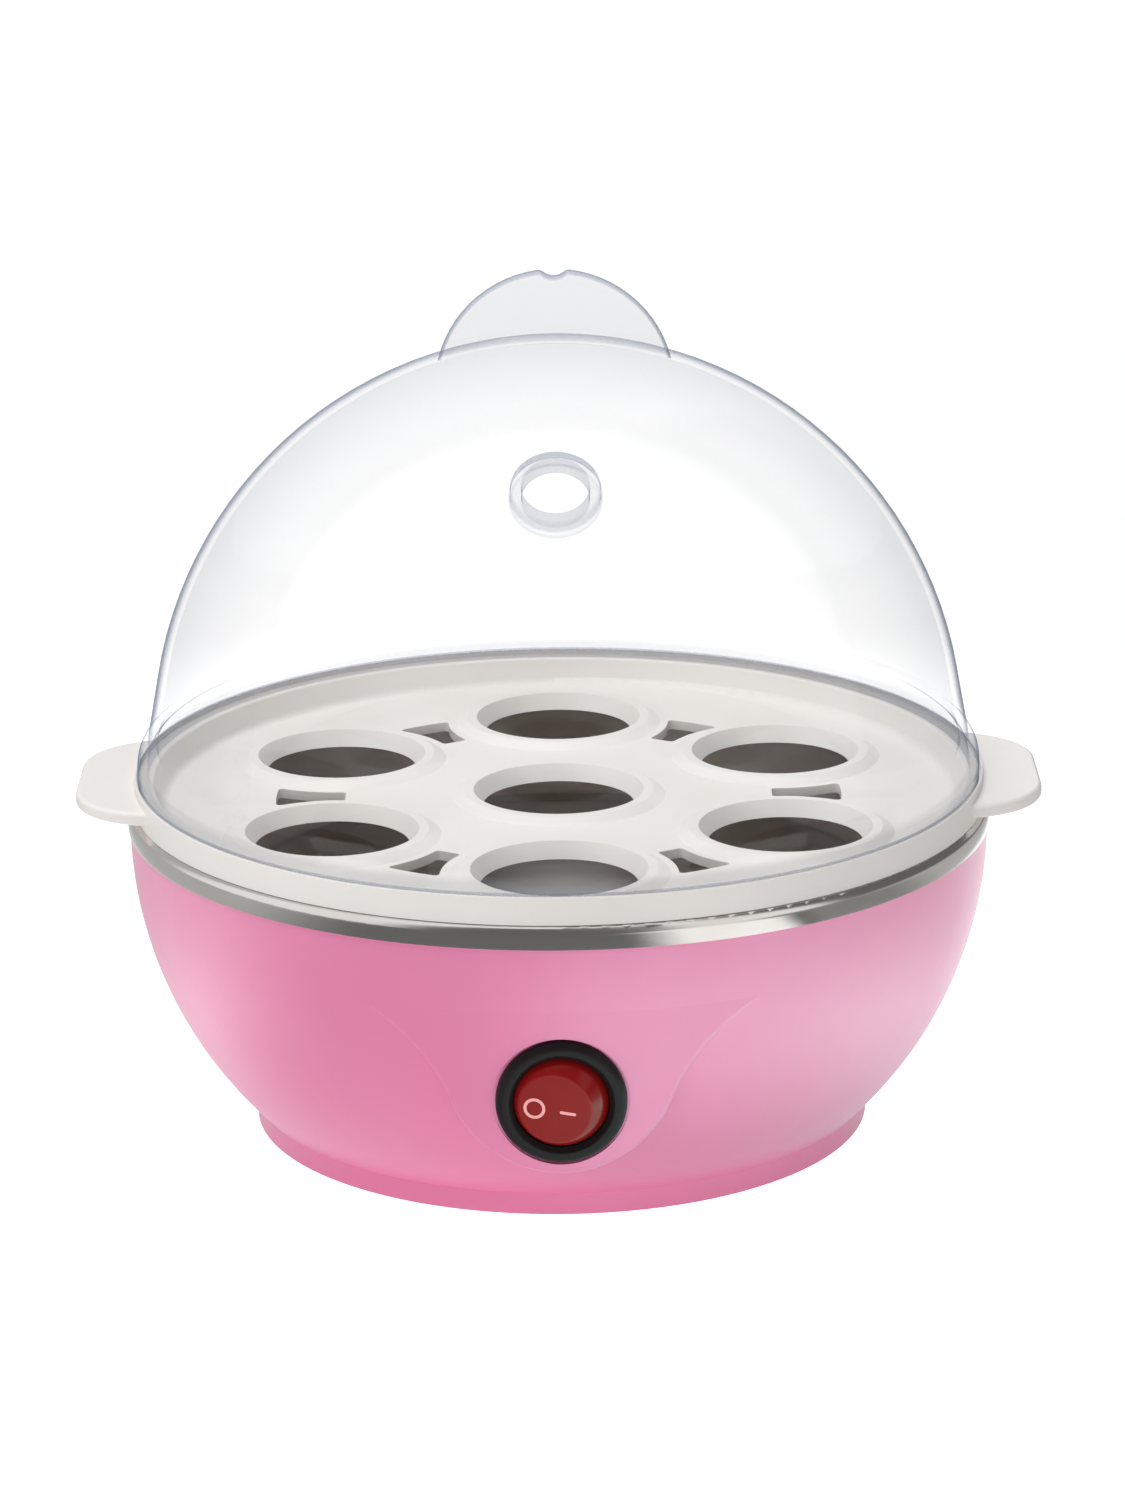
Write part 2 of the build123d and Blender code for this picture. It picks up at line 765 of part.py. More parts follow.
def make_fuse_clip():
    """Sheet clip round the fuse with a tab screwed to the plate."""
    bore = fuse_radius + fit_gap
    tab = Pos(0, fuse_z + bore) * Rectangle(clip_tab_length, clip_sheet, align=(Align.MAX, Align.MIN))
    outline = Pos(0, fuse_z) * Circle(bore + clip_sheet) + tab
    outline -= Pos(0, fuse_z) * Circle(bore)
    clip = extrude(Plane.YZ * (Pos(-fuse_offset, 0) * outline), amount=clip_width / 2, both=True)
    return clip - Pos(0, -fuse_offset - clip_reach, 0) * screw_hole(fuse_z, plate_low_z + cut_overrun)


def make_fuse_clip_screw():
    """Screw that holds the fuse clip."""
    return Pos(0, -fuse_offset - clip_reach, plate_low_z - clip_sheet) * small_screw(small_screw_grip)


def make_switch_housing():
    """Round switch body: rounded bezel, throat round the rocker, drum through the pad and snap wedges."""
    back_z = -drum_depth
    throat_z = bezel_height - throat_depth
    corners = [
        (bezel_radius, 0),
        (bezel_radius, bezel_height),
        (bezel_mouth_radius, bezel_height),
        (throat_radius, throat_z),
        (drum_bore_radius, throat_z - throat_taper_length),
        (drum_bore_radius, drum_floor_z),
        (0, drum_floor_z),
        (0, back_z),
        (drum_radius, back_z),
        (drum_radius, 0),
    ]
    rounds = [0, bezel_round, bezel_round / 4, 0, 0, 0, 0, 0, 0, 0]
    body = turned_points(corners, rounds)
    wedge_top_z = -housing_wall - fit_gap
    wedge = extrude(
        Plane.XZ
        * make_face(
            Polyline(
                (drum_bore_radius, wedge_top_z),
                (drum_radius + wedge_rise, wedge_top_z),
                (drum_radius, wedge_top_z - wedge_length),
                (drum_bore_radius, wedge_top_z - wedge_length),
                close=True,
            ).edges()
        ),
        amount=wedge_width / 2,
        both=True,
    )
    wedge -= upright(drum_bore_radius, back_z, 0)
    body += [wedge, mirror(wedge, about=Plane.YZ)]
    bearing = Rot(90, 0, 0) * Cylinder(trunnion_radius + pivot_gap, 2 * (drum_radius + cut_overrun))
    body -= Pos(0, 0, pivot_z) * bearing
    slit = Box(terminal_sheet + fit_gap, terminal_width + fit_gap, 2 * drum_floor + cut_overrun)
    body -= [Pos(step * terminal_pitch, 0, back_z + drum_floor / 2) * slit for step in (-1, 0, 1)]
    return switch_plane.location * body


def rocker_place():
    """Location of the rocker's pivot at rest, with the off side pressed in."""
    return switch_plane.location * Pos(0, 0, pivot_z) * Rot(0, -rocker_tilt, 0)


def make_switch_rocker():
    """Ball-sided rocker with a round face, trunnions and a hollow stem for the plunger."""
    heel_z = -rocker_heel
    side_radius = sqrt(ball_radius**2 - rocker_face_height**2)
    knob = Sphere(ball_radius) & upright(ball_radius, heel_z, rocker_face_height)
    face_edge = knob.edges().group_by(Axis.Z)[-1]
    knob = fillet(face_edge, min(rocker_face_round, side_radius / 4))
    knob += upright(stem_radius, heel_z - stem_length, heel_z + fit_gap)
    knob += Rot(90, 0, 0) * Cylinder(trunnion_radius, 2 * (drum_bore_radius + trunnion_reach))
    bore_low_z = heel_z - stem_length - cut_overrun
    knob -= upright(plunger_radius + fit_gap, bore_low_z, heel_z - stem_length + plunger_bore_depth)
    return rocker_place() * knob


def make_switch_plunger():
    """Round-nosed plunger in the rocker's stem."""
    nose_z = -tip_reach + plunger_radius
    shank = upright(plunger_radius, nose_z, nose_z + plunger_shank)
    return rocker_place() * (shank + Pos(0, 0, nose_z) * Sphere(plunger_radius))


def make_plunger_spring():
    """Plain sleeve in the place of the plunger's spring."""
    low_z = -tip_reach + plunger_radius + plunger_shank
    high_z = plunger_bore_depth - rocker_heel - stem_length
    sleeve = upright(plunger_radius, low_z, high_z) - upright(plunger_radius - spring_wall, low_z, high_z)
    return rocker_place() * sleeve


def make_contact_lever():
    """See-saw contact strip with a pivot pin across it, tipped the other way from the rocker."""
    strip = Box(lever_length, lever_width, lever_sheet)
    strip = fillet(strip.edges().filter_by(Axis.Z), lever_width / 4)
    pin = Rot(90, 0, 0) * Cylinder(lever_pin_radius, lever_width + 2 * (cradle_gap + cradle_sheet))
    return switch_plane.location * Pos(0, 0, lever_pivot_z) * Rot(0, lever_tilt, 0) * (strip + pin)


def make_switch_terminals():
    """Three blades through the drum's floor, two with contact rivets and one with the lever's cradle."""
    back_z = -drum_depth - terminal_reach
    blade = Box(
        terminal_sheet,
        terminal_width,
        drum_floor_z - back_z,
        align=(Align.CENTER, Align.CENTER, Align.MIN),
    )
    blade = Pos(0, 0, back_z) * blade
    contact = blade + upright(rivet_radius, drum_floor_z, drum_floor_z + rivet_height)
    cheek_y = lever_width / 2 + cradle_gap
    cheek = Box(
        2 * rivet_radius,
        cradle_sheet,
        lever_pivot_rise + rivet_radius,
        align=(Align.CENTER, Align.MIN, Align.MIN),
    )
    cheek = Pos(0, cheek_y, drum_floor_z) * cheek
    sole = Box(2 * rivet_radius, 2 * cheek_y, rivet_height, align=(Align.CENTER, Align.CENTER, Align.MIN))
    cradle = blade + Pos(0, 0, drum_floor_z) * sole + cheek + mirror(cheek, about=Plane.XZ)
    bearing_length = 2 * (cheek_y + cradle_sheet) + cut_overrun
    bearing = Rot(90, 0, 0) * Cylinder(lever_pin_radius + pivot_gap, bearing_length)
    cradle -= Pos(0, 0, lever_pivot_z) * bearing
    solids = [Pos(-terminal_pitch, 0, 0) * contact, cradle, Pos(terminal_pitch, 0, 0) * contact]
    return [switch_plane.location * solid for solid in solids]


def make_neon_lamp():
    """Small glass lamp lying on the drum's floor."""
    lamp = Rot(0, 90, 0) * Cylinder(lamp_radius, lamp_length)
    lamp = fillet(lamp.edges().filter_by(GeomType.CIRCLE), lamp_radius / 2)
    return switch_plane.location * Pos(0, lamp_offset, drum_floor_z + lamp_radius + fit_gap) * lamp


def flag_connector(width, reach):
    """Flag connector closed round a blade that points down its Z axis from zero."""
    body = Box(
        connector_thickness,
        width + 2 * connector_margin,
        connector_length,
        align=(Align.CENTER, Align.CENTER, Align.MAX),
    )
    body = fillet(body.edges().filter_by(Axis.Z), connector_thickness / 4)
    body = Pos(0, 0, connector_length - connector_margin - reach) * body
    blade = Box(
        blade_thickness + fit_gap,
        width + fit_gap,
        2 * reach,
    )
    return body - blade


def switch_connector_place(step):
    """Location of the connector on a switch terminal, with Z pointing back out of the switch."""
    return switch_plane.location * Pos(step * terminal_pitch, 0, -drum_depth)


def make_spade_connectors():
    """Connectors on two switch terminals and on both thermostat blades."""
    on_switch = flag_connector(terminal_width, terminal_reach)
    on_stat = flag_connector(blade_width, blade_length)
    solids = [switch_connector_place(step) * on_switch for step in (-1, 0)]
    solids += [Pos(side * stat_blade_pitch, 0, stat_low_z) * on_stat for side in (-1, 1)]
    return solids


def make_base_plate():
    """Bottom cover with four screw posts, foot recesses, a pilot hole for the block and cooling slots."""
    cover = upright(foot_ring_inner_radius - cover_play, cover_low_z, cover_top_z)
    posts = post_places()
    cover += [place * upright(post_radius, cover_top_z - fit_gap, boss_low_z) for place in posts]
    under_z = cover_low_z - cut_overrun
    bore = upright(post_bore_radius, under_z, boss_low_z + cut_overrun)
    bore += upright(counterbore_radius, under_z, cover_low_z + counterbore_depth)
    recess = upright(foot_radius + fit_gap, under_z, cover_low_z + foot_recess)
    slit = extrude(SlotOverall(vent_slot_length, vent_slot_width), amount=cover_thickness + 2 * cut_overrun)
    first_y = -(vent_slot_count - 1) * vent_slot_pitch / 2
    slit_places = [Pos(0, first_y + index * vent_slot_pitch, under_z) for index in range(vent_slot_count)]
    cover -= [place * bore for place in posts]
    cover -= [place * recess for place in foot_places()]
    cover -= [place * slit for place in slit_places]
    pilot = screw_hole(cover_low_z + cover_thickness / 2, cover_top_z + cut_overrun)
    return cover - Pos(0, block_offset, 0) * pilot


def make_base_screws():
    """Four long screws up through the posts into the heater plate's bosses."""
    seat_z = cover_low_z + counterbore_depth
    head = upright(screw_head_radius, seat_z - screw_head_height, seat_z)
    cross = Box(2 * slot_width, 2 * screw_radius, 2 * slot_depth)
    head -= Pos(0, 0, seat_z - screw_head_height) * (cross + Rot(0, 0, 90) * cross)
    screw = head + upright(screw_radius, seat_z - fit_gap, boss_low_z + screw_grip)
    return [place * screw for place in post_places()]


def make_rubber_feet():
    """Four soft feet in the cover's recesses."""
    foot = upright(foot_radius, 0, cover_low_z + foot_recess)
    foot = fillet(foot.edges().sort_by(Axis.Z)[0], foot_edge_round)
    return [place * foot for place in foot_places()]


def make_cord_gland():
    """Rubber gland square to the wall: flange outside, neck through the wall and a collar inside."""
    collar_top = -housing_wall - fit_gap
    corners = [
        (gland_bore_radius, gland_flange),
        (gland_flange_radius, gland_flange),
        (gland_flange_radius, 0),
        (gland_neck_radius, 0),
        (gland_neck_radius, collar_top),
        (gland_collar_radius, collar_top),
        (gland_collar_radius, collar_top - gland_collar),
        (gland_bore_radius, collar_top - gland_collar),
    ]
    return gland_plane.location * turned_points(corners, [0, gland_edge_round, 0, 0, 0, 0, 0, 0])


def make_terminal_block():
    """Two-pole block on the cover, with wire holes and screw wells."""
    block = Box(block_length, block_width, block_height, align=(Align.CENTER, Align.CENTER, Align.MIN))
    block = fillet(block.edges().filter_by(Axis.Z), block_edge_round)
    wire_z = block_height / 3
    for side in (-1, 1):
        pole = Pos(side * block_pole_pitch, 0, 0)
        wire_hole = Rot(90, 0, 0) * Cylinder(block_bore_radius, 2 * block_bore_depth)
        block -= pole * Pos(0, -block_width / 2, wire_z) * wire_hole
        block -= pole * upright(block_bore_radius, block_height - wire_z, block_height + cut_overrun)
    block -= upright(small_screw_radius + fit_gap, -cut_overrun, block_height + cut_overrun)
    return Pos(0, block_offset, cover_top_z) * block


def make_block_screw():
    """Screw down through the block into the cover."""
    screw = Rot(180, 0, 0) * small_screw(block_screw_length)
    return Pos(0, block_offset, cover_top_z + block_height) * screw


def lead(*points):
    """Round lead along straight runs joined by arcs as large as the runs allow."""
    corners = [Vector(point) for point in points]
    radii = []
    for before, here, after in zip(corners, corners[1:], corners[2:]):
        shorter = min((here - before).length, (after - here).length)
        half_turn = radians((here - before).get_angle(after - here) / 2)
        radii.append(lead_bend_share * shorter / tan(half_turn))
    path = FilletPolyline(*corners, radius=radii)
    return sweep(Plane(origin=path @ 0, z_dir=path % 0) * Circle(lead_radius), path=path)


# Where the leads end
block_wire_y = block_offset - block_width / 2 + lead_entry
block_wire_z = cover_top_z + block_height / 3
stat_wire_z = stat_low_z - blade_length - connector_margin
switch_down = switch_plane.y_dir * -lead_run
flag_low_y = -terminal_width / 2 - connector_margin
switch_wires = [
    (switch_connector_place(step) * Pos(0, flag_low_y, -terminal_reach / 2)).position for step in (-1, 0)
]
fuse_tip = fuse_length / 2 + fuse_lead_length


def make_lead_block_to_switch():
    """Live lead along the floor from the block to the switch's side terminal."""
    return lead(
        (-block_pole_pitch, block_wire_y, block_wire_z),
        (-7.6, 26, 7),
        (-8.8, 6, 6.4),
        (-8.6, -16, 6.5),
        (-7, -38, 7.4),
        (-6, -52, 11.6),
        switch_wires[0] + switch_down,
        switch_wires[0],
    )


def make_lead_switch_to_thermostat():
    """Lead from the switch's middle terminal to the thermostat."""
    return lead(
        switch_wires[1],
        switch_wires[1] + switch_down,
        (0.4, -52.4, 11.8),
        (1.6, -41, 7.6),
        (3.4, -25, 6.6),
        (4.4, -9, 7.4),
        (stat_blade_pitch, 0, stat_wire_z - lead_run),
        (stat_blade_pitch, 0, stat_wire_z),
    )


def make_lead_thermostat_to_fuse():
    """Lead from the thermostat round to the fuse."""
    return lead(
        (-stat_blade_pitch, 0, stat_wire_z),
        (-stat_blade_pitch, 0, stat_wire_z - lead_run),
        (-10, -6.4, 9.8),
        (-16, -12, 15),
        (-17.5, -15, 26),
        (-fuse_tip - lead_run, -fuse_offset, fuse_z),
        (-fuse_tip, -fuse_offset, fuse_z),
    )


def make_lead_fuse_to_element():
    """Lead from the fuse to the element's right pin."""
    return lead(
        (fuse_tip, -fuse_offset, fuse_z),
        (fuse_tip + lead_run, -fuse_offset, fuse_z),
        (17.5, -15.2, 25),
        (17.6, -16.4, 15),
        (17.2, -18.2, 9.5),
        (15.6, -21.2, 8.6),
        (element_end_x, element_end_y, pin_low_z - lead_run),
        (element_end_x, element_end_y, pin_low_z),
    )


def make_lead_element_to_block():
    """Return lead from the element's left pin to the block."""
    return lead(
        (-element_end_x, element_end_y, pin_low_z),
        (-element_end_x, element_end_y, pin_low_z - lead_run),
        (-16.4, -19.6, 9),
        (-18.8, -9, 8.6),
        (-18, 10, 9),
        (-9, block_wire_y - lead_turn - lead_run, 10.4),
        (2, block_wire_y - lead_turn, 9.6),
        (6.6, block_wire_y - lead_approach, 7.6),
        (block_pole_pitch, block_wire_y, block_wire_z),
    )


MAKERS = {
    "lid": make_lid,
    "egg_tray": make_egg_tray,
    "heating_pan": make_heating_pan,
    "pan_seal": make_pan_seal,
    "outer_housing": make_outer_housing,
    "heater_plate": make_heater_plate,
    "heating_element": make_heating_element,
    "element_pins": make_element_pins,
    "thermostat": make_thermostat,
    "thermostat_flange": make_thermostat_flange,
    "flange_screws": make_flange_screws,
    "thermostat_blades": make_thermostat_blades,
    "thermal_fuse": make_thermal_fuse,
    "fuse_clip": make_fuse_clip,
    "fuse_clip_screw": make_fuse_clip_screw,
    "switch_housing": make_switch_housing,
    "switch_rocker": make_switch_rocker,
    "switch_plunger": make_switch_plunger,
    "plunger_spring": make_plunger_spring,
    "contact_lever": make_contact_lever,
    "switch_terminals": make_switch_terminals,
    "neon_lamp": make_neon_lamp,
    "spade_connectors": make_spade_connectors,
    "base_plate": make_base_plate,
    "base_screws": make_base_screws,
    "rubber_feet": make_rubber_feet,
    "cord_gland": make_cord_gland,
    "terminal_block": make_terminal_block,
    "block_screw": make_block_screw,
    "lead_block_to_switch": make_lead_block_to_switch,
    "lead_switch_to_thermostat": make_lead_switch_to_thermostat,
    "lead_thermostat_to_fuse": make_lead_thermostat_to_fuse,
    "lead_fuse_to_element": make_lead_fuse_to_element,
    "lead_element_to_block": make_lead_element_to_block,
}

os.makedirs("parts", exist_ok=True)
for node, maker in MAKERS.items():
    shape = maker()
    if isinstance(shape, list):
        shape = Compound(children=[Compound(solid.wrapped) for solid in shape])
    export_step(shape, f"parts/{node}.step")
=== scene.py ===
import json
import logging
import math
from dataclasses import dataclass, field
from enum import Enum
from typing import Any, Optional, Union

import bpy
from mathutils import Matrix, Vector


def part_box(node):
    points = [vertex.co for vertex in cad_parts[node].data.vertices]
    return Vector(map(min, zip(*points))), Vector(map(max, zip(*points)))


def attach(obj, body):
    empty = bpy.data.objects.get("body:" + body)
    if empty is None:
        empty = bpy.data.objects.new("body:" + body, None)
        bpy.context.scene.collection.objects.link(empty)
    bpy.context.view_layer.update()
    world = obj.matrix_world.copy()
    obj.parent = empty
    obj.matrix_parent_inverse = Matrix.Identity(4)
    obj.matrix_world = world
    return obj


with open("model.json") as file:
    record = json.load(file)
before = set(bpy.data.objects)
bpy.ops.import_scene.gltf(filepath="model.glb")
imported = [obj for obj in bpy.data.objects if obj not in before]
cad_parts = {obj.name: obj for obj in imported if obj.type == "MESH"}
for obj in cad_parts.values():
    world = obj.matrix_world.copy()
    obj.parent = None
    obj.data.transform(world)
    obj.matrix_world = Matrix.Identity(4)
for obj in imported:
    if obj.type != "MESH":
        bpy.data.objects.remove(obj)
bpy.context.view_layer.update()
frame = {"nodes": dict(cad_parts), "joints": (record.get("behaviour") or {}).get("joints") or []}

LOG = logging.getLogger("egg_cooker")
MM = 0.001
WHITE_LIGHT = (1.0, 1.0, 1.0)

Pair = tuple[float, float]
Triple = tuple[float, float, float]
Number = Union[float, "Value"]
Settings = Optional[dict[str, Any]]
Inputs = Optional[dict[Any, Any]]


def srgb(red: int, green: int, blue: int) -> Triple:
    """Turn a colour as a screen shows it into the linear one that shaders use.

    Args:
        red: Red from 0 to 255.
        green: Green from 0 to 255.
        blue: Blue from 0 to 255.

    Returns:
        The linear colour.
    """

    def linear(level: int) -> float:
        """One channel, from screen level to linear."""
        share = level / 255
        return share / 12.92 if share <= 0.04045 else ((share + 0.055) / 1.055) ** 2.4

    return linear(red), linear(green), linear(blue)


class Value:
    """A socket of a shader that Python's operators work on."""

    def __init__(self, graph: "Graph", socket: bpy.types.NodeSocket) -> None:
        """Keep the graph and the socket."""
        self.graph = graph
        self.socket = socket

    def __add__(self, other: Number) -> "Value":
        """self + other."""
        return self.graph.math("ADD", self, other)

    def __radd__(self, other: Number) -> "Value":
        """other + self."""
        return self.graph.math("ADD", other, self)

    def __sub__(self, other: Number) -> "Value":
        """self - other."""
        return self.graph.math("SUBTRACT", self, other)

    def __rsub__(self, other: Number) -> "Value":
        """other - self."""
        return self.graph.math("SUBTRACT", other, self)

    def __mul__(self, other: Number) -> "Value":
        """self * other."""
        return self.graph.math("MULTIPLY", self, other)

    def __pow__(self, other: Number) -> "Value":
        """self ** other."""
        return self.graph.math("POWER", self, other)

    def larger(self, other: Number) -> "Value":
        """The larger of the two."""
        return self.graph.math("MAXIMUM", self, other)

    def hypot(self, other: "Value") -> "Value":
        """Length of a line that goes self one way and other square to it."""
        return (self * self + other * other) ** 0.5

    def ramp(self, low: float, high: float) -> "Value":
        """Smooth step from 0 at low to 1 at high."""
        inputs = {"Value": self, "From Min": low, "From Max": high}
        return self.graph.value("ShaderNodeMapRange", {"interpolation_type": "SMOOTHSTEP"}, inputs)

    def between(self, low: float, high: float, soft: float) -> "Value":
        """1 between low and high, with soft edges of a width."""
        return self.ramp(low - soft, low + soft) * (1 - self.ramp(high - soft, high + soft))


class Graph:
    """The node tree of a material or of the world."""

    def __init__(self, tree: bpy.types.NodeTree) -> None:
        """Start from an empty tree."""
        self.tree = tree
        tree.nodes.clear()

    def node(self, kind: str, settings: Settings = None, inputs: Inputs = None) -> bpy.types.Node:
        """Add a node.

        Args:
            kind: The node's type.
            settings: Its own settings, which are set before its sockets.
            inputs: Values or links by socket name or number.

        Returns:
            The node.
        """
        made = self.tree.nodes.new(kind)
        for name, setting in (settings or {}).items():
            setattr(made, name, setting)
        for key, value in (inputs or {}).items():
            socket = made.inputs[key]
            if isinstance(value, Value):
                self.tree.links.new(value.socket, socket)
            elif isinstance(value, tuple) and len(value) == 3 and socket.type == "RGBA":
                socket.default_value = (*value, 1.0)
            else:
                socket.default_value = value
        return made

    def value(self, kind: str, settings: Settings = None, inputs: Inputs = None,
              output: Union[str, int] = 0) -> Value:
        """Add a node and take one of its outputs.

        Args:
            kind: The node's type.
            settings: Its own settings.
            inputs: Values or links by socket name or number.
            output: Name or number of the output.

        Returns:
            The output.
        """
        return Value(self, self.node(kind, settings, inputs).outputs[output])

    def math(self, operation: str, first: Number, second: Number) -> Value:
        """Add one Math node.

        Args:
            operation: The node's operation.
            first: Its first input.
            second: Its second input.

        Returns:
            The result.
        """
        return self.value("ShaderNodeMath", {"operation": operation}, {0: first, 1: second})

    def place(self) -> Value:
        """The point on the object, in metres."""
        return self.value("ShaderNodeTexCoord", output="Object")

    def axes(self, vector: Value) -> tuple[Value, Value, Value]:
        """The three parts of a vector."""
        split = self.node("ShaderNodeSeparateXYZ", None, {0: vector})
        return Value(self, split.outputs[0]), Value(self, split.outputs[1]), Value(self, split.outputs[2])

    def stretched(self, vector: Value, scale: Triple) -> Value:
        """The vector with each axis scaled."""
        return self.value("ShaderNodeVectorMath", {"operation": "MULTIPLY"}, {0: vector, 1: scale})

    def noise(self, vector: Value, size: float, detail: float = 2.0, roughness: float = 0.5) -> Value:
        """Noise from 0 to 1 with blotches of about a size.

        Args:
            vector: Where the noise is read.
            size: Width of a blotch in the vector's unit.
            detail: Octaves.
            roughness: Weight of the finer octaves.

        Returns:
            The noise.
        """
        inputs = {"Vector": vector, "Scale": 1 / size, "Detail": detail, "Roughness": roughness}
        return self.value("ShaderNodeTexNoise", None, inputs)

    def mixed(self, share: Value, first: Union[Triple, Value], second: Union[Triple, Value]) -> Value:
        """Colour between two colours."""
        return self.value("ShaderNodeMix", {"data_type": "RGBA"}, {0: share, 6: first, 7: second}, 2)

    def facing(self) -> Value:
        """0 where the surface faces the eye and 1 where it turns away, for clear plastic."""
        return self.value("ShaderNodeLayerWeight", None, {"Blend": 0.5}, "Facing")

    def turned_place(self, around: float) -> Value:
        """Point that runs along circles about the vertical axis, for marks that a wheel leaves.

        Args:
            around: Scale along the circle, where a full turn is 2 pi.

        Returns:
            Angle, radius and height as one vector.
        """
        x, y, z = self.axes(self.place())
        angle = self.math("ARCTAN2", y, x)
        return self.value("ShaderNodeCombineXYZ", None, {0: angle * around, 1: x.hypot(y), 2: z})

    def bump(self, height: Value, depth: float) -> Value:
        """Surface normal from a height of 0 to 1 that stands for a depth in metres."""
        inputs = {"Height": height, "Distance": depth, "Strength": 1.0}
        return self.value("ShaderNodeBump", None, inputs)

    def principled(self, inputs: dict[str, Any]) -> Value:
        """Principled shader from values or links by socket name."""
        return self.value("ShaderNodeBsdfPrincipled", None, inputs)

    def finish(self, shader: Value) -> None:
        """Make a shader the material's surface."""
        self.node("ShaderNodeOutputMaterial", None, {"Surface": shader})


def new_material(name: str) -> tuple[bpy.types.Material, Graph]:
    """Make an empty node material.

    Args:
        name: The material's name.

    Returns:
        The material and its graph.
    """
    material = bpy.data.materials.new(name)
    material.use_nodes = True
    return material, Graph(material.node_tree)


@dataclass(frozen=True)
class Plastic:
    """Moulded plastic: a colour that drifts a little, soft gloss and the faint ripple of a mould.

    Attributes:
        name: The finish's name.
        color: Main colour.
        drift: Colour that it drifts to in broad clouds.
        roughness: Mean roughness.
        ripple: Width of the ripple.
        ripple_depth: Height of the ripple.
        coat: Weight of the clear top gloss.
        coat_roughness: Roughness of that gloss.
        gloss: Strength of the plastic's own reflection, where 0.5 is plain plastic.
        glow: Weight of light scattered under the surface.
        glow_depth: How far that light goes.
        cloud: Width of the clouds.
        cloud_span: Noise at which the other colour begins and is full.
        handling: Width of the patches that handling leaves.
        unevenness: How far these change the roughness, as a share of it.
        index: Refractive index.
    """

    name: str
    color: Triple
    drift: Triple
    roughness: float = 0.3
    ripple: float = 1.6 * MM
    ripple_depth: float = 0.006 * MM
    coat: float = 0.0
    coat_roughness: float = 0.1
    gloss: float = 0.5
    glow: float = 0.0
    glow_depth: float = 4.0 * MM
    cloud: float = 45.0 * MM
    cloud_span: Pair = (0.35, 0.7)
    handling: float = 11.0 * MM
    unevenness: float = 0.3
    index: float = 1.5

    def make(self) -> bpy.types.Material:
        """Build the material."""
        material, graph = new_material(self.name)
        place = graph.place()
        cloud = graph.noise(place, self.cloud, detail=3.0)
        handling = graph.noise(place, self.handling, detail=4.0, roughness=0.62)
        ripple = graph.noise(place, self.ripple, detail=1.5)
        graph.finish(graph.principled({
            "Base Color": graph.mixed(cloud.ramp(*self.cloud_span), self.color, self.drift),
            "Roughness": self.roughness + (handling - 0.5) * (self.unevenness * self.roughness),
            "Normal": graph.bump(ripple, self.ripple_depth),
            "Coat Weight": self.coat,
            "Coat Roughness": self.coat_roughness,
            "Specular IOR Level": self.gloss,
            "Subsurface Weight": self.glow,
            "Subsurface Scale": self.glow_depth,
            "IOR": self.index,
        }))
        return material


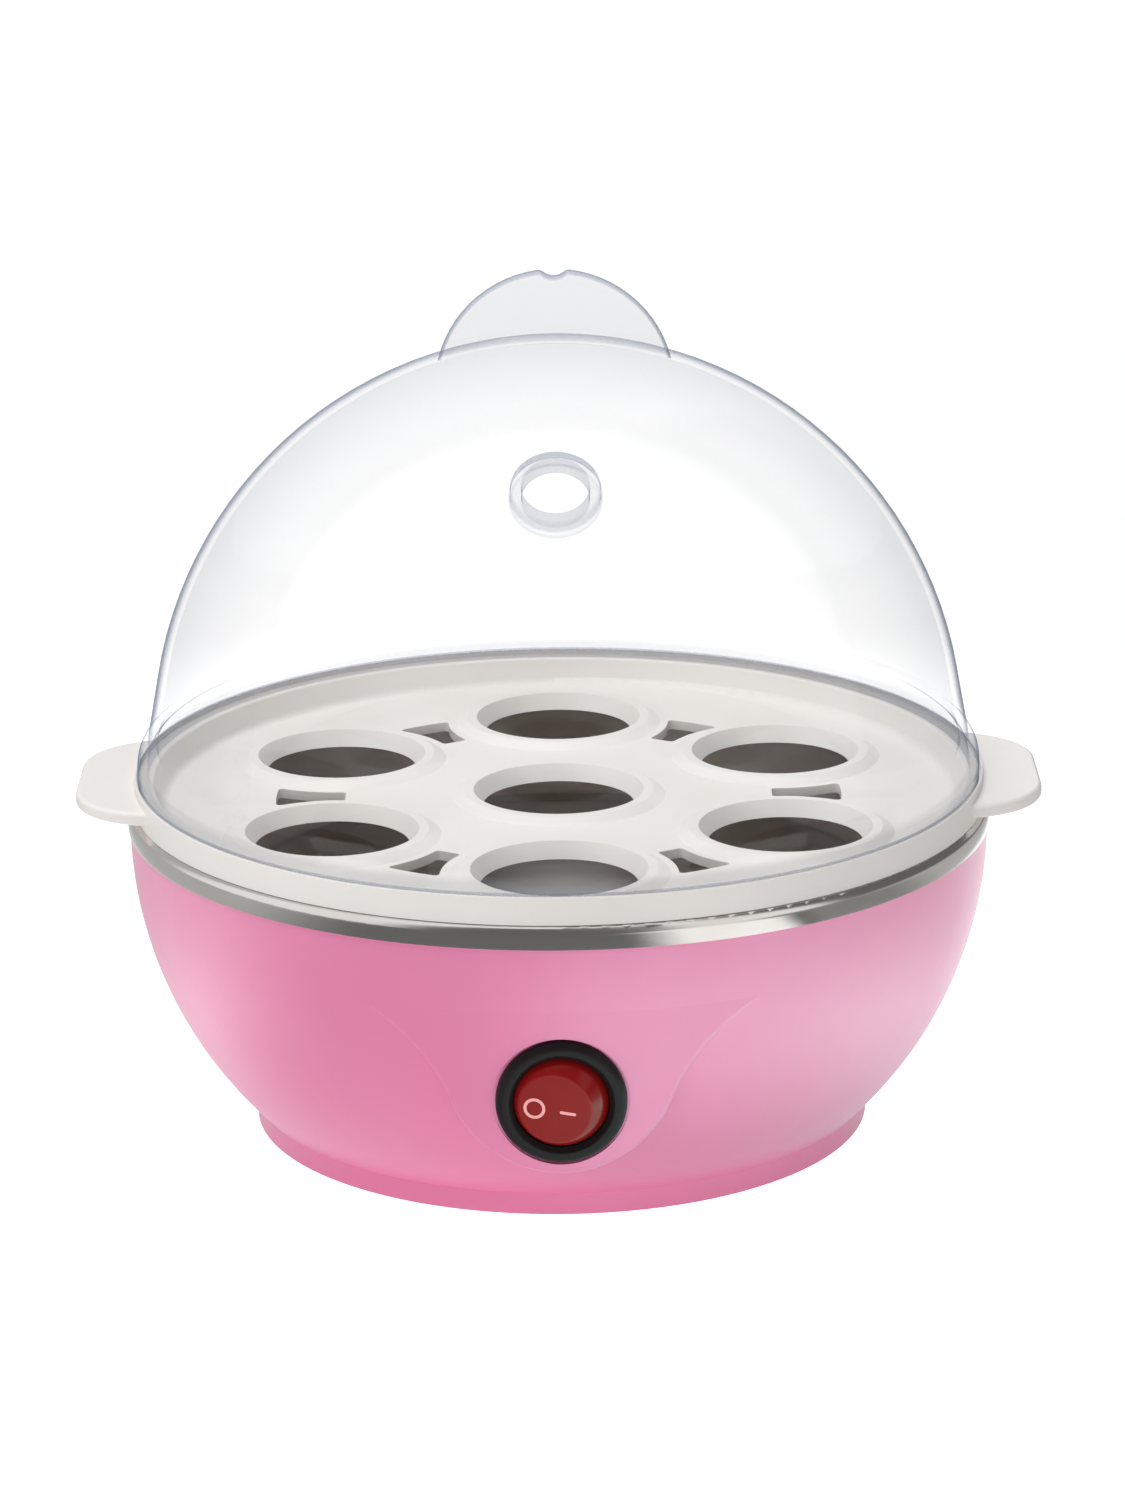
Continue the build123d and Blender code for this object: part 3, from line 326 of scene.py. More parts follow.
@dataclass(frozen=True)
class ClearMoulding:
    """Clear moulded plastic that greys in its thick rim, fin and collar, with painted shade on its edges and
    lines and a painted reflection in a band inside its edges.

    Attributes:
        name: The finish's name.
        tint: Colour of the light that passes.
        film: Grey of the plastic: its own tint where it is thick, and the colour of the painted shade and the
            painted reflection on its edges and lines.
        lid: The lid, whose sizes say where it shows more.
        outline: Share of that grey painted as shade on an edge that turns away.
        outline_turn: How far the surface turns away where that edge begins and is full.
        veil: Share of it painted as a reflection in the band inside the edge.
        veil_turn: How far the surface turns away where that band begins and is full.
        line: Share of it painted as a dark line of shade at the rim's foot and round the fin.
        rim: Share of it in the rim.
        fin: Share of it in the fin.
        collar: Share of it in the vent's collar, and as much again painted as shade on the collar's edges.
        crown_thinning: How much weaker the painted edge shade is at the top, round the fin.
        crown_fade: Heights over the crown between which the painted edge shade weakens.
        blur: Half the width over which a zone ends.
        rise: Height over which the fin and the collar begin.
        clearance: Distances over the dome's skin where the fin begins and is full.
        solidity: How much of the light is bent on its way instead of passing straight.
        index: Refractive index for that light.
        film_roughness: Roughness of the plastic where it shows.
        haze: Roughness that handling adds.
        smear: Width of the smears that handling leaves.
        smear_stretch: Scale of their noise along each axis.
        smear_span: Noise at which a smear begins and is full.
        wave: Width of the mould's waves.
        wave_depth: Their height.
    """

    name: str
    tint: Triple
    film: Triple
    lid: "Lid"
    # Painted shade on edges and lines, a painted reflection inside the edges, then the thick parts' own grey.
    outline: float = 0.62
    outline_turn: Pair = (0.8, 0.95)
    veil: float = 0.08
    veil_turn: Pair = (0.2, 0.92)
    line: float = 0.4
    rim: float = 0.12
    fin: float = 0.13
    collar: float = 0.12
    crown_thinning: float = 0.5
    crown_fade: Pair = (6.5 * MM, 10.0 * MM)
    blur: float = 0.2 * MM
    rise: float = 1.0 * MM
    clearance: Pair = (0.05 * MM, 0.25 * MM)
    solidity: float = 0.035
    index: float = 1.3
    film_roughness: float = 0.3
    haze: float = 0.05
    smear: float = 20.0 * MM
    smear_stretch: Triple = (1.0, 1.0, 0.45)
    smear_span: Pair = (0.5, 0.85)
    wave: float = 16.0 * MM
    wave_depth: float = 0.01 * MM

    def rim_share(self, reach: Value, rise: Value) -> Value:
        """Share of the grey: the plastic's own in the rim, and painted shade on the line at its foot.

        Args:
            reach: The point's distance from the lid's axis.
            rise: Its height over the lid's lower edge.

        Returns:
            The share.
        """
        radius = self.lid.rim_radius
        # Painted shade: a dark line where the lid's foot meets the tray's lip.
        line = rise.between(*self.lid.line_span, self.blur / 2) * reach.ramp(radius - self.blur, radius)
        band = 1 - rise.ramp(*self.lid.band_fade)
        return band * self.rim + line * self.line

    def fin_share(self, x: Value, z: Value) -> Value:
        """Share of the grey: the plastic's own in the fin, and painted shade along its edge.

        Args:
            x: The point's place across.
            z: Its height.

        Returns:
            The share.
        """
        lid = self.lid
        near, far = lid.fin_edge
        # Painted shade: a dark line round the fin's arc and its notch.
        arc = x.hypot(z - lid.fin_middle).ramp(lid.fin_radius - far, lid.fin_radius - near)
        notch = 1 - x.hypot(z - lid.notch_middle).ramp(lid.notch_radius + near, lid.notch_radius + far)
        return self.fin + arc.larger(notch) * self.line

    def collar_share(self, x: Value, aside: Value) -> Value:
        """Share of the grey in the vent's collar: the plastic's own, with painted shade on its inner and
        outer edges.

        Args:
            x: The point's place across.
            aside: Its distance from the vent's axis in depth.

        Returns:
            The share.
        """
        reach = x.hypot(aside)
        ring = reach.between(*self.lid.collar_span, self.blur)
        # Painted shade on the collar's outer edge and round its bore.
        edges = reach.ramp(*self.lid.collar_edge).larger(1 - reach.ramp(*self.lid.bore_edge))
        return ring * (self.collar + edges * self.collar)

    def outer_skin(self, reach: Value, rise: Value, out: Value) -> Value:
        """1 on the outer skin of the dome and of the rim, which alone get the painted edge shade.

        Args:
            reach: The point's distance from the lid's axis.
            rise: Its height over the lid's lower edge.
            out: Its distance over the dome's ball.

        Returns:
            The share.
        """
        half_wall = self.lid.wall / 2
        inside = self.lid.rim_radius - half_wall
        rim = reach.ramp(inside - self.blur, inside + self.blur) * (1 - rise.ramp(*self.lid.rim_fade))
        return out.between(-half_wall, half_wall, self.blur).larger(rim)

    def tint_and_painted_shade_share(self, graph: Graph, place: Value) -> Value:
        """Share of the grey at a point: the plastic's own in the thick parts, painted shade on the edges and
        lines, and a painted reflection inside the edges.

        Args:
            graph: The material's graph.
            place: The point.

        Returns:
            The share.
        """
        lid = self.lid
        x, y, z = graph.axes(place)
        reach = x.hypot(y)
        rise = z - lid.low
        over_crown = z - lid.crown
        level = z - lid.dome_middle
        out = reach.hypot(level) - lid.dome_radius
        facing = graph.facing()
        # Painted shade on edges that turn away, weaker at the crown, and a painted reflection in the band
        # inside them.
        thin = 1 - over_crown.ramp(*self.crown_fade) * self.crown_thinning
        painted_edge_shade = facing.ramp(*self.outline_turn) * self.outer_skin(reach, rise, out) * thin * self.outline
        veil = facing.ramp(*self.veil_turn) * self.veil
        fin = over_crown.ramp(0.0, self.rise) * out.ramp(*self.clearance) * self.fin_share(x, z)
        tilt = math.radians(lid.vent_tilt)
        aside = y * math.cos(tilt) + level * math.sin(tilt)
        ahead = level * math.cos(tilt) - y * math.sin(tilt)
        collar = ahead.ramp(0.0, self.rise) * self.collar_share(x, aside)
        return painted_edge_shade + veil + fin + collar + self.rim_share(reach, rise)

    def make(self) -> bpy.types.Material:
        """Build the material."""
        material, graph = new_material(self.name)
        place = graph.place()
        smear = graph.noise(graph.stretched(place, self.smear_stretch), self.smear, detail=4.0, roughness=0.6)
        dulling = smear.ramp(*self.smear_span) * self.haze
        wave = graph.bump(graph.noise(place, self.wave, detail=1.0), self.wave_depth)
        clear = graph.principled({
            "Base Color": self.tint,
            "Roughness": dulling,
            "Normal": wave,
            "Transmission Weight": 1.0,
            "IOR": self.index,
            "Alpha": self.solidity,
        })
        # Diffuse grey that carries the plastic's own tint and also the painted shade and the painted
        # reflection.
        body = graph.principled({
            "Base Color": self.film,
            "Roughness": self.film_roughness + dulling,
            "Normal": wave,
            "Specular IOR Level": 0.0,
        })
        share = self.tint_and_painted_shade_share(graph, place)
        graph.finish(graph.value("ShaderNodeMixShader", None, {0: share, 1: clear, 2: body}))
        return material


@dataclass(frozen=True)
class LampGlass:
    """Thin clear glass with a warm tint.

    Attributes:
        name: The finish's name.
        tint: Colour of the light that passes.
        roughness: Least roughness.
        haze: Roughness that smears add.
        smear: Width of the smears.
        smear_span: Noise at which a smear begins and is full.
        index: Refractive index.
    """

    name: str
    tint: Triple
    roughness: float = 0.03
    haze: float = 0.08
    smear: float = 2.0 * MM
    smear_span: Pair = (0.4, 0.8)
    index: float = 1.45

    def make(self) -> bpy.types.Material:
        """Build the material."""
        material, graph = new_material(self.name)
        smear = graph.noise(graph.place(), self.smear, detail=3.0)
        graph.finish(graph.principled({
            "Base Color": self.tint,
            "Roughness": self.roughness + smear.ramp(*self.smear_span) * self.haze,
            "Transmission Weight": 1.0,
            "IOR": self.index,
        }))
        return material


@dataclass(frozen=True)
class SpunSteel:
    """Polished steel sheet with the fine rings that polishing leaves round it.

    Attributes:
        name: The finish's name.
        color: Colour of the metal.
        stain: Colour that heat and water leave in clouds.
        roughness: Mean roughness.
        unevenness: How far the rings change the roughness, as a share of it.
        ring_pitch: Width of a polishing ring.
        ring_depth: Height of a ring.
        ring_change: How fast a ring changes along its way.
        cloud: Width of the clouds.
        cloud_span: Noise at which a stain begins and is full.
    """

    name: str
    color: Triple
    stain: Triple
    roughness: float = 0.2
    unevenness: float = 0.5
    ring_pitch: float = 0.4 * MM
    ring_depth: float = 0.003 * MM
    ring_change: float = 1.4
    cloud: float = 30.0 * MM
    cloud_span: Pair = (0.45, 0.8)

    def make(self) -> bpy.types.Material:
        """Build the material."""
        material, graph = new_material(self.name)
        fine = 1 / self.ring_pitch
        way = graph.stretched(graph.turned_place(self.ring_change), (1.0, fine, fine))
        rings = graph.noise(way, 1.0, detail=3.0, roughness=0.7)
        cloud = graph.noise(graph.place(), self.cloud, detail=3.0)
        graph.finish(graph.principled({
            "Base Color": graph.mixed(cloud.ramp(*self.cloud_span), self.color, self.stain),
            "Metallic": 1.0,
            "Roughness": self.roughness + (rings - 0.5) * (self.unevenness * self.roughness),
            "Normal": graph.bump(rings, self.ring_depth),
        }))
        return material


@dataclass(frozen=True)
class Metal:
    """Plain metal: a grain of bumps and a colour that dulls in patches.

    Attributes:
        name: The finish's name.
        color: Colour of the bright metal.
        dull: Colour of the dull patches.
        roughness: Mean roughness.
        unevenness: How far the patches change the roughness.
        grain: Width of the grain.
        grain_depth: Height of the grain.
        patch: Width of the patches.
        patch_span: Noise at which a patch begins and is full.
    """

    name: str
    color: Triple
    dull: Triple
    roughness: float = 0.35
    unevenness: float = 0.25
    grain: float = 0.5 * MM
    grain_depth: float = 0.01 * MM
    patch: float = 6.0 * MM
    patch_span: Pair = (0.42, 0.68)

    def make(self) -> bpy.types.Material:
        """Build the material."""
        material, graph = new_material(self.name)
        place = graph.place()
        patch = graph.noise(place, self.patch, detail=4.0, roughness=0.6)
        grain = graph.noise(place, self.grain)
        graph.finish(graph.principled({
            "Base Color": graph.mixed(patch.ramp(*self.patch_span), self.color, self.dull),
            "Metallic": 1.0,
            "Roughness": self.roughness + (patch - 0.5) * self.unevenness,
            "Normal": graph.bump(grain, self.grain_depth),
        }))
        return material


@dataclass(frozen=True)
class Rubber:
    """Soft rubber: dull, with a powdery bloom and a pebbled skin.

    Attributes:
        name: The finish's name.
        color: Colour of the clean rubber.
        bloom: Colour of the bloom.
        roughness: Mean roughness.
        unevenness: How far the bloom changes the roughness.
        dust: Width of the bloom's patches.
        dust_span: Noise at which the bloom begins and is full.
        pebble: Width of a pebble of the skin.
        pebble_depth: Its height.
    """

    name: str
    color: Triple
    bloom: Triple
    roughness: float = 0.6
    unevenness: float = 0.2
    dust: float = 4.0 * MM
    dust_span: Pair = (0.5, 0.8)
    pebble: float = 0.6 * MM
    pebble_depth: float = 0.02 * MM

    def make(self) -> bpy.types.Material:
        """Build the material."""
        material, graph = new_material(self.name)
        place = graph.place()
        dust = graph.noise(place, self.dust, detail=5.0, roughness=0.65)
        pebble = graph.noise(place, self.pebble)
        graph.finish(graph.principled({
            "Base Color": graph.mixed(dust.ramp(*self.dust_span), self.color, self.bloom),
            "Roughness": self.roughness + (dust - 0.5) * self.unevenness,
            "Normal": graph.bump(pebble, self.pebble_depth),
        }))
        return material


Finish = Union[Plastic, ClearMoulding, LampGlass, SpunSteel, Metal, Rubber]

PINK = Plastic("pink_plastic", srgb(226, 122, 166), srgb(224, 118, 163), roughness=0.42, ripple=2.2 * MM,
               ripple_depth=0.004 * MM, coat=0.7, coat_roughness=0.36)
WHITE = Plastic("white_plastic", srgb(240, 237, 233), srgb(237, 233, 228), roughness=0.34, coat=0.1,
                glow=0.04)
BLACK = Plastic("black_plastic", srgb(34, 29, 30), srgb(29, 25, 26), roughness=0.38, ripple=0.7 * MM,
                gloss=0.09)
RED = Plastic("red_plastic", srgb(142, 22, 22), srgb(130, 17, 18), roughness=0.2, gloss=0.16)
PRINT = Plastic("switch_print", srgb(250, 176, 174), srgb(244, 166, 166), roughness=0.4)
STEEL = SpunSteel("stainless", srgb(222, 219, 215), srgb(214, 209, 202))
COVER = Plastic("cover_plastic", srgb(216, 212, 207), srgb(208, 203, 198), roughness=0.5, ripple=0.6 * MM,
                ripple_depth=0.02 * MM)
NYLON = Plastic("nylon", srgb(222, 219, 208), srgb(214, 210, 198), roughness=0.45, glow=0.1)
PHENOLIC = Plastic("phenolic", srgb(78, 62, 50), srgb(64, 50, 42), roughness=0.55)
SILICONE = Rubber("silicone", srgb(214, 211, 207), srgb(226, 224, 221), roughness=0.5)
RUBBER = Rubber("rubber", srgb(46, 45, 46), srgb(74, 72, 70))
CAST = Metal("cast_aluminium", srgb(200, 200, 202), srgb(172, 172, 174), roughness=0.45, grain=0.9 * MM,
             grain_depth=0.04 * MM)
SHEATH = Metal("element_sheath", srgb(128, 124, 120), srgb(98, 90, 84), roughness=0.42)
PLATED = Metal("plated_steel", srgb(212, 212, 208), srgb(190, 190, 186), roughness=0.28)
BRASS = Metal("brass", srgb(214, 178, 104), srgb(190, 150, 84), roughness=0.3)
CAN = Metal("fuse_case", srgb(214, 208, 194), srgb(196, 190, 178), roughness=0.3)
LAMP = LampGlass("lamp_glass", srgb(255, 214, 190))


class Sleeve(Enum):
    """Sleeves that the inner leads wear."""

    BROWN = Plastic("brown_sleeve", srgb(96, 60, 38), srgb(86, 52, 34), roughness=0.5)
    WHITE = Plastic("white_sleeve", srgb(228, 226, 220), srgb(218, 215, 208), roughness=0.6, ripple=0.5 * MM,
                    ripple_depth=0.04 * MM)
    BLUE = Plastic("blue_sleeve", srgb(40, 88, 156), srgb(36, 78, 144), roughness=0.5)


class Wardrobe:
    """Makes each finish once and puts it on objects."""

    def __init__(self) -> None:
        """Start with nothing made."""
        self.made: dict[str, bpy.types.Material] = {}

    def dress(self, piece: bpy.types.Object, finish: Finish) -> None:
        """Put a finish on a whole object.

        Args:
            piece: The object.
            finish: Any of the finishes above.
        """
        if finish.name not in self.made:
            self.made[finish.name] = finish.make()
        piece.data.materials.clear()
        piece.data.materials.append(self.made[finish.name])
        for polygon in piece.data.polygons:
            polygon.material_index = 0

    def dress_nodes(self, finishes: dict[str, Finish]) -> None:
        """Put finishes on solids by node name.

        Args:
            finishes: The finish of each node.
        """
        for name, finish in finishes.items():
            self.dress(frame["nodes"][name], finish)
            LOG.info("dressed %s in %s", name, finish.name)


def deselect() -> None:
    """Leave edit mode and select nothing."""
    if bpy.context.object and bpy.context.object.mode != "OBJECT":
        bpy.ops.object.mode_set(mode="OBJECT")
    bpy.ops.object.select_all(action="DESELECT")


@dataclass
class Assembly:
    """Pieces of the cooker that belong together.

    Attributes:
        wardrobe: Puts the finishes on.
    """

    wardrobe: Wardrobe

    def finishes(self) -> dict[str, Finish]:
        """The finish of each of its nodes."""
        raise NotImplementedError

    def dress(self) -> None:
        """Put the finishes on its nodes."""
        self.wardrobe.dress_nodes(self.finishes())

    def build(self) -> None:
        """Add what its solids lack, where they lack anything."""


@dataclass
class Lid(Assembly):
    """Clear dome with its flared rim, its vent and the fin that lifts it.

    Attributes:
        line_span: Heights over the lower edge between which the lid gets a painted dark line of shade where
            it meets the tray's lip.
        band_fade: Heights over it between which the rim's thick edge ends.
        rim_fade: Heights over it between which the flared rim ends.
        rim_radius: Outer radius of the rim.
        fin_radius: Radius of the fin's arc.
        fin_edge: Distances from the fin's edge where the painted dark line along it is full and ends.
        lip_drop: How far the lips of the fin's notch lie under the full arc.
        notch_radius: Radius of that notch.
        notch_depth: Its depth.
        crown_drop: How far the crown lies under the middle of the fin's arc.
        dome_rise: Height of the middle of the dome's ball over the lower edge.
        dome_radius: Radius of the dome's outer skin.
        wall: Thickness of the dome.
        vent_tilt: Angle of the vent's axis from upright, in degrees.
        collar_span: Radii between which the vent's collar lies, with a margin.
        collar_edge: Radii where the painted dark line round the collar's outside begins and is full.
        bore_edge: Radii where the painted dark line round its bore is full and ends.
        low: Height of the lower edge.
        fin_middle: Height of the middle of the fin's arc.
        notch_middle: Height of the middle of the notch's arc.
        crown: Height over which only the fin stands out of the dome.
        dome_middle: Height of the middle of the dome's ball.
    """

    line_span: Pair = (0.9 * MM, 1.5 * MM)
    band_fade: Pair = (2.7 * MM, 3.96 * MM)
    rim_fade: Pair = (7.0 * MM, 8.0 * MM)
    rim_radius: float = 78.6 * MM
    fin_radius: float = 22.0 * MM
    fin_edge: Pair = (0.3 * MM, 0.75 * MM)
    lip_drop: float = 0.2 * MM
    notch_radius: float = 3.0 * MM
    notch_depth: float = 1.2 * MM
    crown_drop: float = 5.5 * MM
    dome_rise: float = 5.9 * MM
    dome_radius: float = 75.6 * MM
    wall: float = 1.8 * MM
    vent_tilt: float = 38.5
    collar_span: Pair = (5.6 * MM, 8.3 * MM)
    collar_edge: Pair = (7.5 * MM, 8.0 * MM)
    bore_edge: Pair = (6.0 * MM, 6.3 * MM)
    low: float = field(init=False)
    fin_middle: float = field(init=False)
    notch_middle: float = field(init=False)
    crown: float = field(init=False)
    dome_middle: float = field(init=False)

    def __post_init__(self) -> None:
        """Lay the heights out in the frame, from the lid's own box."""
        low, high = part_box("lid")
        self.low = low[2]
        self.fin_middle = high[2] + self.lip_drop - self.fin_radius
        self.notch_middle = self.fin_middle + self.fin_radius - self.notch_depth + self.notch_radius
        self.crown = self.fin_middle - self.crown_drop
        self.dome_middle = self.low + self.dome_rise

    def finishes(self) -> dict[str, Finish]:
        """Clear plastic, with the rim, the fin and the collar greyer."""
        return {"lid": ClearMoulding("clear_plastic", srgb(250, 252, 255), srgb(140, 150, 170), self)}


@dataclass
class Tray(Assembly):
    """White tray with the seats and the ears."""

    def finishes(self) -> dict[str, Finish]:
        """Warm white."""
        return {"egg_tray": WHITE}


@dataclass
class Body(Assembly):
    """Steel pan, its seal and the pink bowl round them."""

    def finishes(self) -> dict[str, Finish]:
        """Polished steel for the pan, silicone for its seal and pink gloss for the bowl."""
        return {"heating_pan": STEEL, "pan_seal": SILICONE, "outer_housing": PINK}


class RockerFace:
    """Where the rocker's face lies at rest, read from the joint and the rocker's own mesh."""

    def __init__(self) -> None:
        """Work out the face's frame: x across, y along the hinge, z out of the face."""
        joint = next(entry for entry in frame["joints"] if entry["name"] == "rocker_tip")
        self.along = Vector(joint["axis"]).normalized()
        turn = Matrix.Rotation(-math.radians(joint["range_deg"][1]) / 2, 3, self.along)
        self.across = turn @ Vector((1, 0, 0))
        self.out = self.across.cross(self.along)
        pivot = Vector(joint["pos_m"])
        mesh = frame["nodes"]["switch_rocker"].data
        height = max((vertex.co - pivot).dot(self.out) for vertex in mesh.vertices)
        self.middle = pivot + self.out * height

    def matrix(self) -> Matrix:
        """Placement of something that is drawn flat in XY and stands on the face."""
        matrix = Matrix((self.across, self.along, self.out)).transposed().to_4x4()
        matrix.translation = self.middle
        return matrix


@dataclass
class RockerSwitch(Assembly):
    """Round rocker switch with the off ring and the on bar printed on its rocker.

    Attributes:
        ring_radius: Outer radius of the ring.
        ring_corners: Corners of its outline.
        stroke: Width of both lines.
        ring_offset: Distance of the ring from the face's middle.
        bar_length: Length of the bar.
        bar_offset: Distance of the bar's middle from the face's middle.
        bar_rounding: Radius of the bar's corners, as a share of the stroke.
        bar_segments: Segments of each of these.
        drop: How far both lie below the middle.
        turn: Angle that the print is turned on the face, in degrees.
        film: Thickness of the print.
    """

    ring_radius: float = 1.95 * MM
    ring_corners: int = 72
    stroke: float = 0.54 * MM
    ring_offset: float = 3.6 * MM
    bar_length: float = 2.9 * MM
    bar_offset: float = 2.4 * MM
    bar_rounding: float = 0.45
    bar_segments: int = 5
    drop: float = 0.5 * MM
    turn: float = -5.0
    film: float = 0.05 * MM

    def finishes(self) -> dict[str, Finish]:
        """Black round the red rocker, with white plastic, steel, brass and glass inside."""
        return {
            "switch_housing": BLACK,
            "switch_rocker": RED,
            "switch_plunger": WHITE,
            "plunger_spring": PLATED,
            "contact_lever": BRASS,
            "switch_terminals": BRASS,
            "neon_lamp": LAMP,
        }

    def build(self) -> None:
        """Print both marks on the rocker's face."""
        for mark in (self.ring(), self.bar()):
            LOG.info("printed %s", mark.name)

    def settle(self, piece: bpy.types.Object, name: str) -> bpy.types.Object:
        """Turn a flat mark, lay it on the face and let it ride with the rocker.

        Args:
            piece: The mark, drawn flat on XY.
            name: Its name.

        Returns:
            The mark.
        """
        piece.name = name
        spin = Matrix.Rotation(math.radians(self.turn), 4, "Z")
        piece.matrix_world = RockerFace().matrix() @ spin
        bpy.ops.object.transform_apply(location=True, rotation=True, scale=True)
        self.wardrobe.dress(piece, PRINT)
        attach(piece, "rocker")
        return piece

    def thicken(self) -> None:
        """Raise the selected flat faces by the film's thickness, in edit mode."""
        bpy.ops.mesh.extrude_region_move(TRANSFORM_OT_translate={"value": (0, 0, self.film)})
        bpy.ops.mesh.select_all(action="SELECT")
        bpy.ops.mesh.normals_make_consistent(inside=False)
        bpy.ops.object.mode_set(mode="OBJECT")

    def ring(self) -> bpy.types.Object:
        """Ring for off: a disc inset by the stroke, with its middle taken out."""
        deselect()
        bpy.ops.mesh.primitive_circle_add(
            vertices=self.ring_corners, radius=self.ring_radius, fill_type="NGON")
        bpy.ops.object.mode_set(mode="EDIT")
        bpy.ops.mesh.select_all(action="SELECT")
        bpy.ops.mesh.inset(thickness=self.stroke)
        bpy.ops.mesh.delete(type="FACE")
        bpy.ops.mesh.select_all(action="SELECT")
        bpy.ops.transform.translate(value=(-self.ring_offset, -self.drop, 0))
        self.thicken()
        return self.settle(bpy.context.object, "off_ring")

    def bar(self) -> bpy.types.Object:
        """Bar for on: a small plate drawn out to its length, with round ends."""
        deselect()
        bpy.ops.mesh.primitive_plane_add(size=self.stroke)
        bpy.ops.object.mode_set(mode="EDIT")
        bpy.ops.mesh.select_all(action="SELECT")
        bpy.ops.transform.resize(value=(self.bar_length / self.stroke, 1, 1))
        bpy.ops.mesh.bevel(
            offset=self.bar_rounding * self.stroke, segments=self.bar_segments, affect="VERTICES")
        bpy.ops.transform.translate(value=(self.bar_offset, -self.drop, 0))
        self.thicken()
        return self.settle(bpy.context.object, "on_bar")


@dataclass
class Heater(Assembly):
    """Heater plate with its element, the thermostat and the thermal fuse."""

    def finishes(self) -> dict[str, Finish]:
        """Cast metal for the plate, phenolic for the thermostat and other metals for the rest."""
        return {
            "heater_plate": CAST,
            "heating_element": SHEATH,
            "element_pins": PLATED,
            "thermostat": PHENOLIC,
            "thermostat_flange": PLATED,
            "flange_screws": PLATED,
            "thermostat_blades": BRASS,
            "thermal_fuse": CAN,
            "fuse_clip": PLATED,
            "fuse_clip_screw": PLATED,
        }


@dataclass
class Wiring(Assembly):
    """Inner leads, their connectors and the terminal block."""

    def finishes(self) -> dict[str, Finish]:
        """A sleeve for each lead, nylon for what they end in and plated steel for its screw."""
        return {
            "lead_block_to_switch": Sleeve.BROWN.value,
            "lead_switch_to_thermostat": Sleeve.WHITE.value,
            "lead_thermostat_to_fuse": Sleeve.WHITE.value,
            "lead_fuse_to_element": Sleeve.WHITE.value,
            "lead_element_to_block": Sleeve.BLUE.value,
            "spade_connectors": NYLON,
            "terminal_block": NYLON,
            "block_screw": PLATED,
        }


@dataclass
class Underside(Assembly):
    """Bottom cover with its screws, its feet and the gland at the back."""

    def finishes(self) -> dict[str, Finish]:
        """Matt plastic for the cover, plated steel for its screws and rubber for the feet and the gland."""
        return {
            "base_plate": COVER,
            "base_screws": PLATED,
            "rubber_feet": RUBBER,
            "cord_gland": RUBBER,
        }


@dataclass(frozen=True)
class SoftBox:
    """Lamp that gloss doesn't mirror.

    Attributes:
        name: The lamp's name.
        place: Where it hangs.
        size: Width and height.
        power: Watts.
    """

    name: str
    place: Triple
    size: Pair
    power: float

    def hang(self, aim: Vector) -> None:
        """Hang the lamp.

        Args:
            aim: The point that it faces.
        """
        data = bpy.data.lights.new(self.name, "AREA")
        data.shape = "RECTANGLE"
        data.size, data.size_y = self.size
        data.energy = self.power
        lamp = bpy.data.objects.new(self.name, data)
        bpy.context.scene.collection.objects.link(lamp)
        lamp.location = self.place
        lamp.visible_glossy = False
        lamp.rotation_euler = (aim - Vector(self.place)).to_track_quat("-Z", "Y").to_euler()


@dataclass(frozen=True)
class Step:
    """Change of a card's brightness on the way round the object.

    Attributes:
        start: Angle from the front where it begins, in degrees.
        end: Angle where it is complete.
        change: How much brighter the card is from there on.
    """

    start: float
    end: float
    change: float


@dataclass(frozen=True)
class Sheen:
    """Bright stretch of the card on the floor.

    Attributes:
        rise: Angles from the front where it begins and is full, in degrees.
        fall: Angles where it begins to fade and has faded.
        fading: How far it fades.
        strength: How much brighter the card is there.
    """

    rise: Pair
    fall: Pair
    fading: float
    strength: float

    def share(self, angle: Value) -> Value:
        """How full it is at an angle."""
        return angle.ramp(*self.rise) * (1 - angle.ramp(*self.fall) * self.fading)


